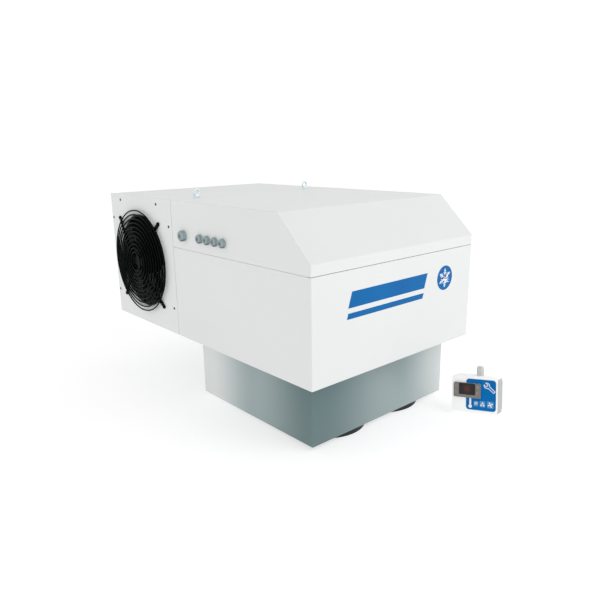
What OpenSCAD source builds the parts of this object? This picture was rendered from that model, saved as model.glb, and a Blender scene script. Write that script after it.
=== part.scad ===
// Roof-mounted monoblock refrigeration unit and the control box that belongs to it.
// The white housing sits on a cold-room roof, and the insulated plug hangs through the cut-out.
// X runs across the unit, Y from the sloping front to the rear, and Z up.
// The origin is the centre of the plug, on the roof surface that the gasket rests on.

/* [Housing] */
// Width of the housing
housing_w = 690; // [670:5:760]
// Height of the housing
housing_h = 450; // [440:5:520]
// Length of the front section, up to the seam
front_len = 660; // [640:5:780]
// Length of the rear section, behind the seam
rear_len = 440; // [420:5:520]
// Length of the sloping front, measured along the housing
slope_run = 125; // [80:5:180]
// Height that the sloping front drops
slope_drop = 120; // [90:5:130]
// Height of the upright lip of the hood, under the slope
hood_lip = 30; // [20:1:36]
// Thickness of the painted sheet
sheet = 1.5; // [1:0.1:2]
// Gap that shows at the seams between panels
seam_gap = 1.5; // [0.8:0.1:2.5]

/* [Plug] */
// Length of the plug, front to rear
plug_len = 545; // [530:5:580]
// Distance from each side of the housing to the plug
plug_side = 52.5; // [46:0.5:60]
// Depth of the plug under the housing
plug_depth = 200; // [160:5:260]
// Distance from the front of the housing to the front of the plug
plug_setback = 58; // [50:1:70]
// Thickness of the foam lining in the plug
plug_foam = 18; // [12:1:20]
// Thickness of the roof gasket
gasket_t = 3.5; // [2:0.5:6]
// Width of the roof gasket
gasket_w = 32; // [26:1:38]

/* [Condenser fan] */
// Tip radius of the condenser impeller, as a share of the rear section
cond_tip_share = 0.3568; // [0.33:0.0001:0.36]
// Distance from the rear of the housing to the fan axis, as a share of the rear section
cond_back_share = 0.4773; // [0.47:0.0001:0.49]
// Height of the fan axis over the underside of the housing
cond_rise = 223; // [215:1:235]
// Distance from the impeller tips to the outermost guard ring
cond_rim_out = 21; // [17:1:25]
// Spacing of the guard rings
cond_ring_pitch = 14.5; // [11:0.5:20]
// Number of condenser fan blades
cond_blades = 5; // [4:1:6]

/* [Evaporator fans] */
// Tip radius of each evaporator impeller, as a share of the plug width
evap_tip_share = 0.1829; // [0.165:0.0001:0.187]
// Distance between the two fan axes, as a share of the plug width
evap_spacing_share = 0.4308; // [0.43:0.0001:0.46]
// Drop of each fan ring below the plug
evap_drop = 14; // [13:1:24]
// Spacing of the guard rings
evap_ring_pitch = 12; // [9:0.5:16]
// Number of blades on each evaporator fan
evap_blades = 5; // [4:1:6]

/* [Coils] */
// Spacing of the fins
fin_pitch = 7; // [5:0.5:12]
// Thickness of each fin
fin_t = 0.4; // [0.3:0.1:0.6]
// Radius of the coil tubes
tube_r = 4.8; // [4:0.1:6]

/* [Control box] */
// Width of the control box
panel_w = 140; // [132:1:160]
// Height of the control box
panel_h = 112; // [108:1:130]
// Depth of its rear shell
panel_base_d = 35; // [32:1:48]
// Depth of its cover
panel_cover_d = 21; // [20:1:26]
// Turn of the control box about Z, in degrees
panel_turn = -74; // [-90:1:-50]
// Lean of the control box away from upright, in degrees
panel_lean = 12; // [0:1:25]
// Roll of the control box onto one lower corner, in degrees
panel_roll = -6; // [-12:1:0]

/* [Hidden] */
$fn = 72;

// Clearance between fitted pieces, clearance of a turning shaft, and overrun of every cut
fit = 0.3;
run_fit = 0.05;
overrun = 6;

// Main planes of the housing
half_w = housing_w / 2;
plug_w = housing_w - 2 * plug_side;
base_z = gasket_t + sheet;
top_z = base_z + housing_h;
front_y = -plug_len / 2 - plug_setback;
seam_y = front_y + front_len;
rear_y = seam_y + rear_len;
slope_z = top_z - slope_drop;
hood_z = slope_z - hood_lip;
plug_z = base_z - plug_depth;

// Radius of the folds in the sheet, outside, and the facets of each fold
fold_r = 3;
fold_steps = 5;
// Upturned edge of the base pan, and the strip behind the hood seam
pan_lip = 20;
strip_below = 20;
strip_above = 12;
// Flange of the rear cover behind the fan panel
cover_flange = 30;
// The insulated bulkhead reaches this far in front of the seam and behind it
bulkhead_front = 12;
bulkhead_rear = 28;
// Foam round the cold chamber
chamber_foam = 25;

// Places and radii of the fans
divider_gap = 4;
cond_tip_r = cond_tip_share * rear_len;
cond_rim_r = cond_tip_r + cond_rim_out;
cond_y = rear_y - cond_back_share * rear_len;
cond_z = base_z + cond_rise;
tip_gap = 4;
bell_r = 8;
cond_throat_r = cond_tip_r + tip_gap;
cond_mouth_r = cond_throat_r + bell_r;
shroud_flange = 12;
shroud_flange_r = cond_mouth_r + shroud_flange;
shroud_deep = 52;
evap_gap = 2.5;
ring_wall = 2.5;
evap_tip_r = evap_tip_share * plug_w;
evap_spacing = evap_spacing_share * plug_w;
evap_collar_r = evap_tip_r + evap_gap + ring_wall;
evap_collar_deep = 34;
bell_flare = 4;
evap_band = 10;
evap_front_gap = 0.5;
evap_ring_r = evap_collar_r + evap_band;
evap_y = -plug_len / 2 + evap_ring_r + evap_front_gap;

// Helpers for outlines
function unit(v) = v / norm(v);
function corner(a, b, c, r) = r <= 0 ? [b] :
    let (u = unit(a - b), v = unit(c - b), half = acos(u * v) / 2,
         centre = b + unit(u + v) * r / sin(half), from = b + u * r / tan(half) - centre,
         start = atan2(from[1], from[0]), sweep = -sign(cross(u, v)) * (180 - 2 * half))
    [for (k = [0:fold_steps]) centre + r * [cos(start + sweep * k / fold_steps), sin(start + sweep * k / fold_steps)]];
function filleted(pts, radii) = let (n = len(pts))
    [for (i = [0:n - 1]) each corner(pts[(i + n - 1) % n], pts[i], pts[(i + 1) % n], radii[i])];
function box_points(x0, y0, x1, y1) = [[x0, y0], [x1, y0], [x1, y1], [x0, y1]];

// Extrudes an outline of (Y, Z) points along X, or of (X, Z) points along Y
module along_x(x0, x1) {
    translate([x0, 0, 0]) rotate([90, 0, 90]) linear_extrude(x1 - x0) children();
}
module along_y(y0, y1) {
    translate([0, y1, 0]) rotate([90, 0, 0]) linear_extrude(y1 - y0) children();
}
module up_z(z0, z1) {
    translate([0, 0, z0]) linear_extrude(z1 - z0) children();
}
module block(low, high) {
    translate(low) cube(high - low);
}
// Round bar between two points
module bar(p, q, r) {
    d = q - p;
    translate(p) rotate([0, acos(d[2] / norm(d)), atan2(d[1], d[0])]) cylinder(h = norm(d), r = r);
}
// Pipe through a list of points, with a true bend at each inner point
module pipe(pts, r, bend_r) {
    n = len(pts);
    function cut(i) = i == 0 || i == n - 1 ? 0 :
        bend_r / tan(acos(unit(pts[i - 1] - pts[i]) * unit(pts[i + 1] - pts[i])) / 2);
    for (i = [0:n - 2]) {
        d = unit(pts[i + 1] - pts[i]);
        bar(pts[i] + d * cut(i), pts[i + 1] - d * cut(i + 1), r);
    }
    if (n > 2) for (i = [1:n - 2]) {
        u = unit(pts[i - 1] - pts[i]);
        v = unit(pts[i + 1] - pts[i]);
        half = acos(u * v) / 2;
        centre = pts[i] + unit(u + v) * bend_r / sin(half);
        ex = unit(pts[i] + u * cut(i) - centre);
        ez = cross(ex, -u);
        multmatrix([[ex[0], -u[0], ez[0], centre[0]], [ex[1], -u[1], ez[1], centre[1]],
                    [ex[2], -u[2], ez[2], centre[2]], [0, 0, 0, 1]])
            rotate_extrude(angle = 180 - 2 * half) translate([bend_r, 0]) circle(r);
    }
}
// Drum with a round edge at both ends, standing on its foot
module drum(r, h, edge_r) {
    rotate_extrude() {
        square([r - edge_r, h]);
        translate([0, edge_r]) square([r, h - 2 * edge_r]);
        translate([r - edge_r, edge_r]) circle(edge_r);
        translate([r - edge_r, h - edge_r]) circle(edge_r);
    }
}
// Panel places: the outside of a face, with local Z pointing away from the unit
module on_left(y, z) { translate([-half_w, y, z]) rotate([0, -90, 0]) children(); }
module on_right(y, z) { translate([half_w, y, z]) rotate([0, 90, 0]) children(); }
module on_rear(x, z) { translate([x, rear_y, z]) rotate([-90, 0, 0]) children(); }

// Housing sheets
// Plan of the front section and side view of the front section, both drawn in by an inset
function front_plan(inset) = let (r = max(fold_r - inset, fit), end = seam_y - seam_gap / 2)
    filleted(box_points(-half_w + inset, front_y + inset, half_w - inset, end), [r, r, 0, 0]);
slope_rate = slope_drop / slope_run;
slope_skew = sqrt(1 + slope_rate * slope_rate);
function hood_side(inset, low) = let (end = seam_y - seam_gap / 2, r = max(fold_r - inset, fit)) filleted([
    [front_y + inset, low], [end, low], [end, top_z - inset],
    [front_y + slope_run + inset * (slope_skew - 1) / slope_rate, top_z - inset],
    [front_y + inset, slope_z - inset * (slope_skew - slope_rate)]], [0, 0, 0, r, r]);

module front_casing() {
    casing_top = hood_z - seam_gap;
    color("whitesmoke") difference() {
        union() {
            up_z(base_z, casing_top) polygon(front_plan(0));
            up_z(casing_top - strip_below, hood_z + strip_above)
                intersection() {
                    polygon(front_plan(sheet));
                    square([housing_w, 2 * (seam_y - bulkhead_front)], center = true);
                }
        }
        up_z(base_z - overrun, casing_top - strip_below) polygon(front_plan_cut(sheet));
        up_z(casing_top - strip_below - overrun, hood_z + strip_above + overrun) polygon(front_plan_cut(2 * sheet));
        block([-half_w + sheet, seam_y - bulkhead_front, casing_top - strip_below - overrun],
              [half_w - sheet, seam_y, hood_z + strip_above + overrun]);
        at_hood_screws() screw_hole();
    }
}
// The same plan, carried on past the open rear end so that it cuts cleanly
function front_plan_cut(inset) = let (r = max(fold_r - inset, fit))
    filleted(box_points(-half_w + inset, front_y + inset, half_w - inset, seam_y + overrun), [r, r, 0, 0]);

module hood() {
    color("whitesmoke") difference() {
        intersection() {
            along_x(-half_w, half_w) polygon(hood_side(0, hood_z));
            up_z(hood_z, top_z) polygon(front_plan(0));
        }
        intersection() {
            along_x(-half_w + sheet, half_w - sheet) polygon(hood_side(sheet, hood_z - overrun));
            up_z(hood_z - overrun, top_z) polygon(front_plan(sheet));
        }
        for (g = glands) on_left(g[0], gland_z) cylinder(h = 2 * overrun, r = g[1] / 2 + fit, center = true);
        for (y = hood_screw_ys) on_right(y, hood_z + strip_above / 2) screw_hole();
    }
}

module fan_panel() {
    color("whitesmoke") difference() {
        block([-half_w, seam_y + seam_gap / 2, base_z], [-half_w + sheet, rear_y, top_z]);
        on_left(cond_y, cond_z) cylinder(h = 2 * overrun, r = cond_mouth_r, center = true);
        at_panel_screws() screw_hole();
        on_left(cond_y, cond_z) at_feet(cond_foot_r) cylinder(h = 2 * overrun, r = foot_screw_r + fit, center = true);
    }
}

// Rear cover: top, right side and rear wall folded from sheet, with flanges behind the fan panel
module cover_space(inset, x0, y0, z0) {
    r = max(fold_r - inset, fit);
    intersection() {
        up_z(z0, top_z - inset) polygon(filleted(box_points(x0, y0, half_w - inset, rear_y - inset), [0, 0, r, 0]));
        along_y(y0, rear_y) polygon(filleted(box_points(x0, z0, half_w - inset, top_z - inset), [0, 0, r, 0]));
        along_x(x0, half_w) polygon(filleted(box_points(y0, z0, rear_y - inset, top_z - inset), [0, 0, r, 0]));
    }
}
module rear_cover() {
    left = -half_w + sheet;
    color("whitesmoke") difference() {
        cover_space(0, left, seam_y + seam_gap / 2, base_z);
        difference() {
            cover_space(sheet, left - overrun, seam_y - overrun, base_z - overrun);
            difference() {
                block([left, rear_y - cover_flange, base_z + pan_lip + fit], [left + sheet, rear_y, top_z]);
                on_left(cond_y, cond_z) cylinder(h = 2 * cover_flange, r = shroud_flange_r + fit, center = true);
            }
            block([left, seam_y + bulkhead_rear + fit, top_z - cover_flange], [left + sheet, rear_y, top_z]);
        }
        block([half_w - sheet - overrun, window_y0, window_z0], [half_w + overrun, window_y1, window_z1]);
        at_panel_screws() screw_hole();
        at_cover_screws() screw_hole();
        at_eyebolts() cylinder(h = 2 * overrun, r = eyebolt_shank_r + fit, center = true);
        on_rear(drain_x, drain_z) cylinder(h = 2 * overrun, r = drain_pipe_r + fit, center = true);
    }
}

function pan_plan(inset) = let (r = max(fold_r - inset, fit))
    filleted(box_points(-half_w + inset, front_y + inset, half_w - inset, rear_y - inset), [r, r, r, r]);
plug_in_x = plug_w / 2 - sheet - plug_foam;
plug_in_y = plug_len / 2 - sheet - plug_foam;
module base_pan() {
    color("gainsboro") difference() {
        up_z(base_z, base_z + pan_lip) polygon(pan_plan(sheet));
        up_z(base_z + sheet, base_z + pan_lip + overrun) polygon(pan_plan(2 * sheet));
        block([-plug_in_x, -plug_in_y, base_z - overrun], [plug_in_x, plug_in_y, base_z + overrun]);
        at_cover_screws() screw_hole();
        at_compressor_feet() cylinder(h = 2 * overrun, r = comp_bolt_r + fit, center = true);
    }
}

module roof_gasket() {
    color("dimgray") difference() {
        up_z(0, gasket_t) polygon(filleted(box_points(-plug_w / 2 - gasket_w, -plug_len / 2 - gasket_w,
            plug_w / 2 + gasket_w, plug_len / 2 + gasket_w), [fold_r, fold_r, fold_r, fold_r]));
        block([-plug_w / 2 - fit, -plug_len / 2 - fit, -overrun], [plug_w / 2 + fit, plug_len / 2 + fit, gasket_t + overrun]);
    }
}

// Bulkhead between the cold front section and the warm rear section
module bulkhead() {
    color("gainsboro") difference() {
        union() {
            along_y(seam_y - bulkhead_front, seam_y + bulkhead_rear) polygon(filleted(
                box_points(-half_w + sheet, base_z + pan_lip, half_w - sheet, top_z - sheet), [0, 0, fold_r, fold_r]));
            block([-half_w + 2 * sheet, seam_y - bulkhead_front, base_z + sheet],
                  [half_w - 2 * sheet, seam_y + bulkhead_rear, base_z + pan_lip]);
        }
        at_panel_screws() screw_hole();
        at_cover_screws() screw_hole();
        at_eyebolts() translate([0, 0, -eyebolt_len]) cylinder(h = eyebolt_len + overrun, r = eyebolt_shank_r + run_fit);
        at_line_holes() cylinder(h = housing_w, r = line_r + fit, center = true);
        on_rear(drain_x, drain_z) cylinder(h = 2 * (rear_y - front_y), r = drain_pipe_r + fit, center = true);
    }
}

// Lifting eyebolts
eyebolt_x = 238;
eyebolt_inset = 12;
eyebolt_y = seam_y + eyebolt_inset;
eyebolt_shank_r = 4;
eyebolt_len = 26;
eyebolt_collar_r = 10;
eyebolt_collar_h = 5;
eyebolt_wire_r = 3.2;
eyebolt_ring_r = 9.8;
module at_eyebolts() {
    for (side = [-1, 1]) translate([side * eyebolt_x, eyebolt_y, top_z]) children();
}
module eyebolts() {
    color("silver") at_eyebolts() {
        translate([0, 0, -eyebolt_len]) cylinder(h = eyebolt_len, r = eyebolt_shank_r);
        cylinder(h = eyebolt_collar_h, r = eyebolt_collar_r);
        translate([0, 0, eyebolt_collar_h + eyebolt_ring_r + eyebolt_wire_r / 2])
            rotate([90, 0, 0]) rotate_extrude() translate([eyebolt_ring_r, 0]) circle(eyebolt_wire_r);
    }
}

// Screws of the fan panel, the rear cover and the hood
screw_r = 2;
screw_len = 5;
screw_head_r = 4.4;
screw_head_h = 2.4;
screw_dome_r = 6;
screw_top = 20;
screw_seam = 22;
screw_rear = 10;
screw_span = 132;
screw_inset = 88;
panel_screws_at = [[cond_y - screw_span, top_z - screw_top], [cond_y + screw_span, top_z - screw_top],
    [seam_y + screw_seam, top_z - screw_inset], [seam_y + screw_seam, base_z + screw_inset],
    [rear_y - screw_rear, top_z - screw_inset], [rear_y - screw_rear, base_z + screw_inset]];
hood_screw_ys = [front_y + screw_inset, front_y + front_len / 2, seam_y - screw_inset];
module at_panel_screws() {
    for (p = panel_screws_at) on_left(p[0], p[1]) children();
}
module at_cover_screws() {
    for (z = [base_z + screw_inset, top_z - screw_inset]) on_right(seam_y + screw_seam, z) children();
    for (y = [cond_y - screw_span, cond_y + screw_span]) on_right(y, base_z + pan_lip / 2) children();
    for (side = [-1, 1]) on_rear(side * eyebolt_x, base_z + pan_lip / 2) children();
}
module at_hood_screws() {
    for (y = hood_screw_ys) on_right(y, hood_z + strip_above / 2) children();
}
module screw_hole() { cylinder(h = 2 * overrun, r = screw_r + fit, center = true); }
module screw(long = screw_len) {
    translate([0, 0, -long]) cylinder(h = long, r = screw_r);
    intersection() {
        cylinder(h = screw_head_h, r = screw_head_r);
        translate([0, 0, screw_head_h - screw_dome_r]) sphere(screw_dome_r);
    }
}
module casing_screws() {
    color("silver") {
        at_panel_screws() screw();
        at_cover_screws() screw();
        at_hood_screws() screw();
    }
}

// Cold chamber: foam box inside the front section, open over the plug
chamber_top = hood_z;
chamber_floor = base_z + sheet + chamber_foam;
module chamber_insulation() {
    x = half_w - 2 * sheet - fit;
    y0 = front_y + 2 * sheet + fit;
    y1 = seam_y - bulkhead_front - fit;
    color("lemonchiffon") difference() {
        block([-x, y0, base_z + sheet], [x, y1, chamber_top]);
        block([-x + chamber_foam, y0 + chamber_foam, chamber_floor], [x - chamber_foam, y1 - chamber_foam, chamber_top - chamber_foam]);
        block([-plug_in_x, -plug_in_y, base_z - overrun], [plug_in_x, plug_in_y, chamber_floor + overrun]);
        at_line_holes() cylinder(h = housing_w, r = line_r + fit, center = true);
        on_rear(drain_x, drain_z) cylinder(h = 2 * (rear_y - y1 + chamber_foam + overrun), r = drain_pipe_r + fit, center = true);
    }
}

// Plug
sleeve_flange = 24;
plate_lip = 15;
module sleeve_plan(inset) {
    r = max(fold_r - inset, fit);
    polygon(filleted(box_points(-plug_w / 2 + inset, -plug_len / 2 + inset, plug_w / 2 - inset, plug_len / 2 - inset), [r, r, r, r]));
}
module plug_sleeve() {
    color("lightgray") difference() {
        union() {
            up_z(plug_z, base_z) sleeve_plan(0);
            up_z(gasket_t, base_z) sleeve_plan(-sleeve_flange);
        }
        up_z(plug_z - overrun, base_z + overrun) sleeve_plan(sheet);
    }
}
module plug_insulation() {
    color("lemonchiffon") difference() {
        up_z(plug_z + sheet, base_z) sleeve_plan(2 * sheet + fit);
        block([-plug_in_x, -plug_in_y, plug_z - overrun], [plug_in_x, plug_in_y, base_z + overrun]);
        at_evap_fans() cylinder(h = 2 * (evap_collar_deep + fit), r = evap_collar_r + bell_flare + fit, center = true);
    }
}
module plug_bottom() {
    color("lightgray") difference() {
        up_z(plug_z, plug_z + plate_lip) sleeve_plan(sheet);
        up_z(plug_z + sheet, plug_z + plate_lip + overrun) sleeve_plan(2 * sheet);
        at_evap_fans() cylinder(h = 2 * overrun, r = evap_collar_r + fit, center = true);
        grille();
    }
}
// Return-air slots in the rear half of the plug bottom
slot_w = 8;
slot_pitch = 16;
slot_margin = 22;
module grille() {
    y0 = divider_y1 + slot_margin;
    y1 = plug_in_y - slot_margin;
    n = floor((2 * plug_in_x - 2 * slot_margin) / slot_pitch);
    up_z(plug_z - overrun, plug_z + overrun) for (i = [0:n - 1]) translate([(i - (n - 1) / 2) * slot_pitch, 0]) {
        translate([-slot_w / 2, y0 + slot_w / 2]) square([slot_w, y1 - y0 - slot_w]);
        for (y = [y0 + slot_w / 2, y1 - slot_w / 2]) translate([0, y]) circle(slot_w / 2);
    }
}
divider_t = 20;
divider_y0 = evap_y + evap_ring_r + divider_gap;
divider_y1 = divider_y0 + divider_t;
module plug_divider() {
    color("lemonchiffon") block([-plug_in_x + fit, divider_y0, plug_z + sheet], [plug_in_x - fit, divider_y1, chamber_floor]);
}

// Fans: each is drawn with local Z pointing out of the face that it is fixed to
module at_cond_fan() { on_left(cond_y, cond_z) children(); }
module at_evap_fan(side) {
    translate([side * evap_spacing / 2, evap_y, plug_z]) rotate([180, 0, 0]) children();
}
module at_evap_fans() {
    for (side = [-1, 1]) at_evap_fan(side) children();
}

// Wire guard: rings on a spherical cap, arms bent to the same cap, a centre plate and screwed feet
// The arms are flat straps on the condenser fan and round rods on the evaporator fans
cond_wire_r = 2.4;
evap_wire_r = 1.3;
cond_strap_w = 12;
arm_r = 2;
weld = 0.1;
guard_arms = 4;
arm_turn = 45;
foot_r = 7;
foot_screw_r = 2;
guard_plate_t = 2;
cond_foot_out = 22;
cond_foot_r = cond_rim_r + cond_foot_out;
cond_guard_z = 10;
cond_dome = 14;
cond_hub_r = 46;
evap_guard_z = 8.4;
evap_dome = 3;
evap_hub_r = 34;
function cap_r(rim_r, dome) = (rim_r * rim_r + dome * dome) / (2 * dome);
function cap_z(rim_z, rim_r, dome, r) = rim_z + dome - cap_r(rim_r, dome) + sqrt(pow(cap_r(rim_r, dome), 2) - r * r);
module at_feet(r) {
    for (i = [0:guard_arms - 1]) rotate([0, 0, arm_turn + i * 360 / guard_arms]) translate([r, 0, 0]) children();
}
module guard(rim_r, rim_z, dome, pitch, hub_r, wire_r, strap_w, reach) {
    cap = cap_r(rim_r, dome);
    arm_cap = cap - wire_r - arm_r - weld;
    out_t = asin(rim_r / cap);
    in_t = asin(hub_r / 2 / cap);
    plate_z = guard_plate_z(rim_z, dome, wire_r);
    for (r = [rim_r:-pitch:hub_r / 2]) translate([0, 0, cap_z(rim_z, rim_r, dome, r)])
        rotate_extrude() translate([r, 0]) circle(wire_r);
    for (i = [0:guard_arms - 1]) rotate([0, 0, arm_turn + i * 360 / guard_arms]) {
        translate([0, 0, rim_z + dome - cap]) rotate([90, 0, 0]) rotate([0, 0, 90 - out_t])
            rotate_extrude(angle = out_t - in_t) translate([arm_cap, 0])
                if (strap_w > 0) square([2 * arm_r, strap_w], center = true);
                else circle(arm_r);
        if (reach > 0) {
            end = [arm_cap * sin(out_t), 0, rim_z + dome - cap + arm_cap * cos(out_t)];
            run = rim_r + reach - end[0];
            foot_top = end[2] - run * tan(out_t) + arm_r + foot_r * tan(out_t);
            difference() {
                union() {
                    translate(end) rotate([0, out_t, 0]) translate([0, -strap_w / 2, -arm_r])
                        cube([run / cos(out_t), strap_w, 2 * arm_r]);
                    translate([rim_r + reach, 0, 0]) cylinder(h = foot_top, r = foot_r);
                }
                translate([rim_r + reach, 0, -overrun]) cylinder(h = foot_top + 2 * overrun, r = foot_screw_r + fit);
            }
            translate([rim_r + reach, 0, foot_top]) screw();
        }
    }
    translate([0, 0, plate_z - guard_plate_t]) cylinder(h = guard_plate_t, r = hub_r);
}
function guard_plate_z(rim_z, dome, wire_r) = rim_z + dome - wire_r - 2 * arm_r - 3 * weld;
cond_plate_z = guard_plate_z(cond_guard_z, cond_dome, cond_wire_r);
evap_plate_z = guard_plate_z(evap_guard_z, evap_dome, evap_wire_r);

// Stator with its shaft, hung from the guard plate, and the rotor cup that turns on the shaft
shaft_r = 5;
stator_h = 10;
rotor_gap = 1.5;
rotor_floor = 6;
rotor_edge = 4;
module stator(plate_z, r, deep) {
    top = plate_z - guard_plate_t;
    translate([0, 0, top - stator_h]) cylinder(h = stator_h, r = r);
    translate([0, 0, -deep + rotor_floor]) cylinder(h = deep - rotor_floor + top - stator_h, r = shaft_r);
}
module rotor(plate_z, r, deep) {
    h = plate_z - guard_plate_t - stator_h - rotor_gap + deep;
    difference() {
        translate([0, 0, -deep]) drum(r, h, rotor_edge);
        translate([0, 0, -deep + rotor_floor - rotor_gap]) cylinder(h = h, r = shaft_r + run_fit);
    }
}

// Impeller: a band on the rotor, and swept blades cut from a cambered shell
band_t = 3;
band_play = 0.1;
blade_t = 1.8;
blade_pitch = 24;
blade_sweep = 24;
root_half = 33;
tip_half = 21;
edge_steps = 8;
camber_share = 1.1;
lean_share = 0.6;
function blade_edge(hub_r, tip_r, side) = [for (k = [0:edge_steps]) let (s = k / edge_steps, r = hub_r + (tip_r - hub_r) * s,
    a = blade_sweep * s * s + side * (root_half + (tip_half - root_half) * s)) r * [cos(a), sin(a)]];
function blade_tip(tip_r) = [for (k = [1:edge_steps - 1])
    let (a = blade_sweep - tip_half + 2 * tip_half * k / edge_steps) tip_r * [cos(a), sin(a)]];
function blade_plan(hub_r, tip_r) = concat(blade_edge(hub_r, tip_r, -1), blade_tip(tip_r),
    [for (k = [edge_steps:-1:0]) blade_edge(hub_r, tip_r, 1)[k]]);
module blade(hub_r, tip_r, mid_z, half_h) {
    camber_r = camber_share * tip_r;
    intersection() {
        up_z(mid_z - half_h, mid_z + half_h) polygon(blade_plan(hub_r, tip_r));
        translate([0, 0, mid_z]) rotate([0, 0, lean_share * blade_sweep]) rotate([blade_pitch, 0, 0])
            translate([0, 0, camber_r]) rotate([0, 90, 0]) difference() {
                cylinder(h = 3 * tip_r, r = camber_r + blade_t / 2, center = true);
                cylinder(h = 4 * tip_r, r = camber_r - blade_t / 2, center = true);
            }
    }
}
module impeller(tip_r, hub_r, blades, mid_z, half_h) {
    difference() {
        union() {
            translate([0, 0, mid_z - half_h]) cylinder(h = 2 * half_h, r = hub_r + band_t);
            for (i = [0:blades - 1]) rotate([0, 0, i * 360 / blades])
                blade(hub_r + band_t / 2, tip_r, mid_z, half_h);
        }
        translate([0, 0, mid_z - half_h - overrun]) cylinder(h = 2 * half_h + 2 * overrun, r = hub_r + band_play);
    }
}

cond_rotor_deep = 56;
cond_mid_z = -28;
cond_half_h = 23;
module cond_guard() { color([0.08, 0.08, 0.09]) at_cond_fan() guard(cond_rim_r, cond_guard_z, cond_dome, cond_ring_pitch, cond_hub_r, cond_wire_r, cond_strap_w, cond_foot_out); }
module cond_motor() { color("dimgray") at_cond_fan() stator(cond_plate_z, cond_hub_r - foot_r, cond_rotor_deep); }
module cond_rotor() { color([0.1, 0.1, 0.11]) at_cond_fan() rotor(cond_plate_z, cond_hub_r, cond_rotor_deep); }
module cond_impeller() { color([0.1, 0.1, 0.11]) at_cond_fan() impeller(cond_tip_r, cond_hub_r, cond_blades, cond_mid_z, cond_half_h); }
module cond_shroud() {
    color("gainsboro") at_cond_fan() rotate_extrude() {
        translate([cond_mouth_r, -2 * sheet]) square([shroud_flange, sheet]);
        translate([cond_throat_r, -shroud_deep]) square([sheet, shroud_deep - sheet - bell_r]);
        intersection() {
            translate([cond_mouth_r, -sheet - bell_r]) difference() {
                circle(bell_r);
                circle(bell_r - sheet);
            }
            translate([cond_throat_r, -sheet - bell_r]) square(bell_r);
        }
    }
}

evap_rotor_deep = 42;
evap_mid_z = -16;
evap_half_h = 17;
module evap_guard(side) { color([0.08, 0.08, 0.09]) at_evap_fan(side) guard(evap_ring_r - ring_wall - evap_wire_r - fit, evap_guard_z, evap_dome, evap_ring_pitch, evap_hub_r, evap_wire_r, 0, 0); }
module evap_motor(side) { color("dimgray") at_evap_fan(side) stator(evap_plate_z, evap_hub_r - foot_r, evap_rotor_deep); }
module evap_rotor(side) { color([0.1, 0.1, 0.11]) at_evap_fan(side) rotor(evap_plate_z, evap_hub_r, evap_rotor_deep); }
module evap_impeller(side) { color([0.1, 0.1, 0.11]) at_evap_fan(side) impeller(evap_tip_r, evap_hub_r, evap_blades, evap_mid_z, evap_half_h); }
// Fan ring: a collar through the plug bottom, a flange under it and a deep band round the guard
module evap_ring(side) {
    color([0.1, 0.1, 0.11]) at_evap_fan(side) rotate_extrude() {
        translate([evap_collar_r - ring_wall, -evap_collar_deep]) square([ring_wall, evap_collar_deep + ring_wall]);
        translate([evap_collar_r - ring_wall, 0]) square([evap_band + ring_wall, ring_wall]);
        translate([evap_ring_r - ring_wall, 0]) square([ring_wall, evap_drop]);
        translate([evap_collar_r - ring_wall, -evap_collar_deep]) square([ring_wall + bell_flare, ring_wall]);
    }
}

// Coils: fins on serpentine tubes, drawn with the tubes along X and standing on Z = 0
tube_pitch = 25;
row_pitch = 22;
tube_reach = 9;
end_plate_t = 1.5;
end_flange = 12;
evap_end_gap = 95;
evap_half_len = half_w - evap_end_gap;
evap_rows = 3;
cond_len_share = 0.3636;
cond_half_len = cond_len_share * rear_len;
cond_rows = 2;
function fin_count(half_len) = floor(2 * half_len / fin_pitch);
module at_tubes(rows, high) {
    for (j = [0:rows - 1]) for (k = [0:high - 1])
        translate([(j - (rows - 1) / 2) * row_pitch, (k + 1 / 2) * tube_pitch]) children();
}
module coil_fins(half_len, rows, high) {
    n = fin_count(half_len);
    for (i = [0:n - 1]) let (x = (i - (n - 1) / 2) * fin_pitch) along_x(x - fin_t / 2, x + fin_t / 2) difference() {
        translate([-rows * row_pitch / 2, 0]) square([rows * row_pitch, high * tube_pitch]);
        at_tubes(rows, high) circle(tube_r + fit);
    }
}
module coil_frame(half_len, rows, high, leg) {
    y = rows * row_pitch / 2;
    for (side = [-1, 1]) scale([side, 1, 1]) {
        along_x(half_len, half_len + end_plate_t) difference() {
            translate([-y, -leg]) square([2 * y, high * tube_pitch + leg]);
            at_tubes(rows, high) circle(tube_r + fit);
        }
        for (x = [[-y, -y + end_plate_t], [y - end_plate_t, y]])
            block([half_len, x[0], -leg], [half_len + end_flange, x[1], high * tube_pitch]);
    }
}
module half_bend(r) {
    rotate([0, 0, -90]) rotate_extrude(angle = 180) translate([r, 0]) circle(tube_r);
}
module coil_tubes(half_len, rows, high) {
    reach = half_len + tube_reach;
    top_side = high % 2 == 0 ? -1 : 1;
    for (j = [0:rows - 1]) translate([0, (j - (rows - 1) / 2) * row_pitch, tube_pitch / 2]) {
        for (k = [0:high - 1]) bar([-reach, 0, k * tube_pitch], [reach, 0, k * tube_pitch], tube_r);
        for (k = [0:high - 2]) let (side = k % 2 == 0 ? 1 : -1)
            translate([side * reach, 0, (k + 1 / 2) * tube_pitch]) scale([side, 1, 1])
                rotate([90, 0, 0]) half_bend(tube_pitch / 2);
    }
    // Rows are joined at the bottom and at the top in turn
    if (rows > 1) for (j = [0:rows - 2]) let (k = j % 2 == 0 ? 0 : high - 1, side = j % 2 == 0 ? -1 : top_side)
        translate([side * reach, (j + 1 - rows / 2) * row_pitch, (k + 1 / 2) * tube_pitch]) scale([side, 1, 1])
            half_bend(row_pitch / 2);
}

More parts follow.
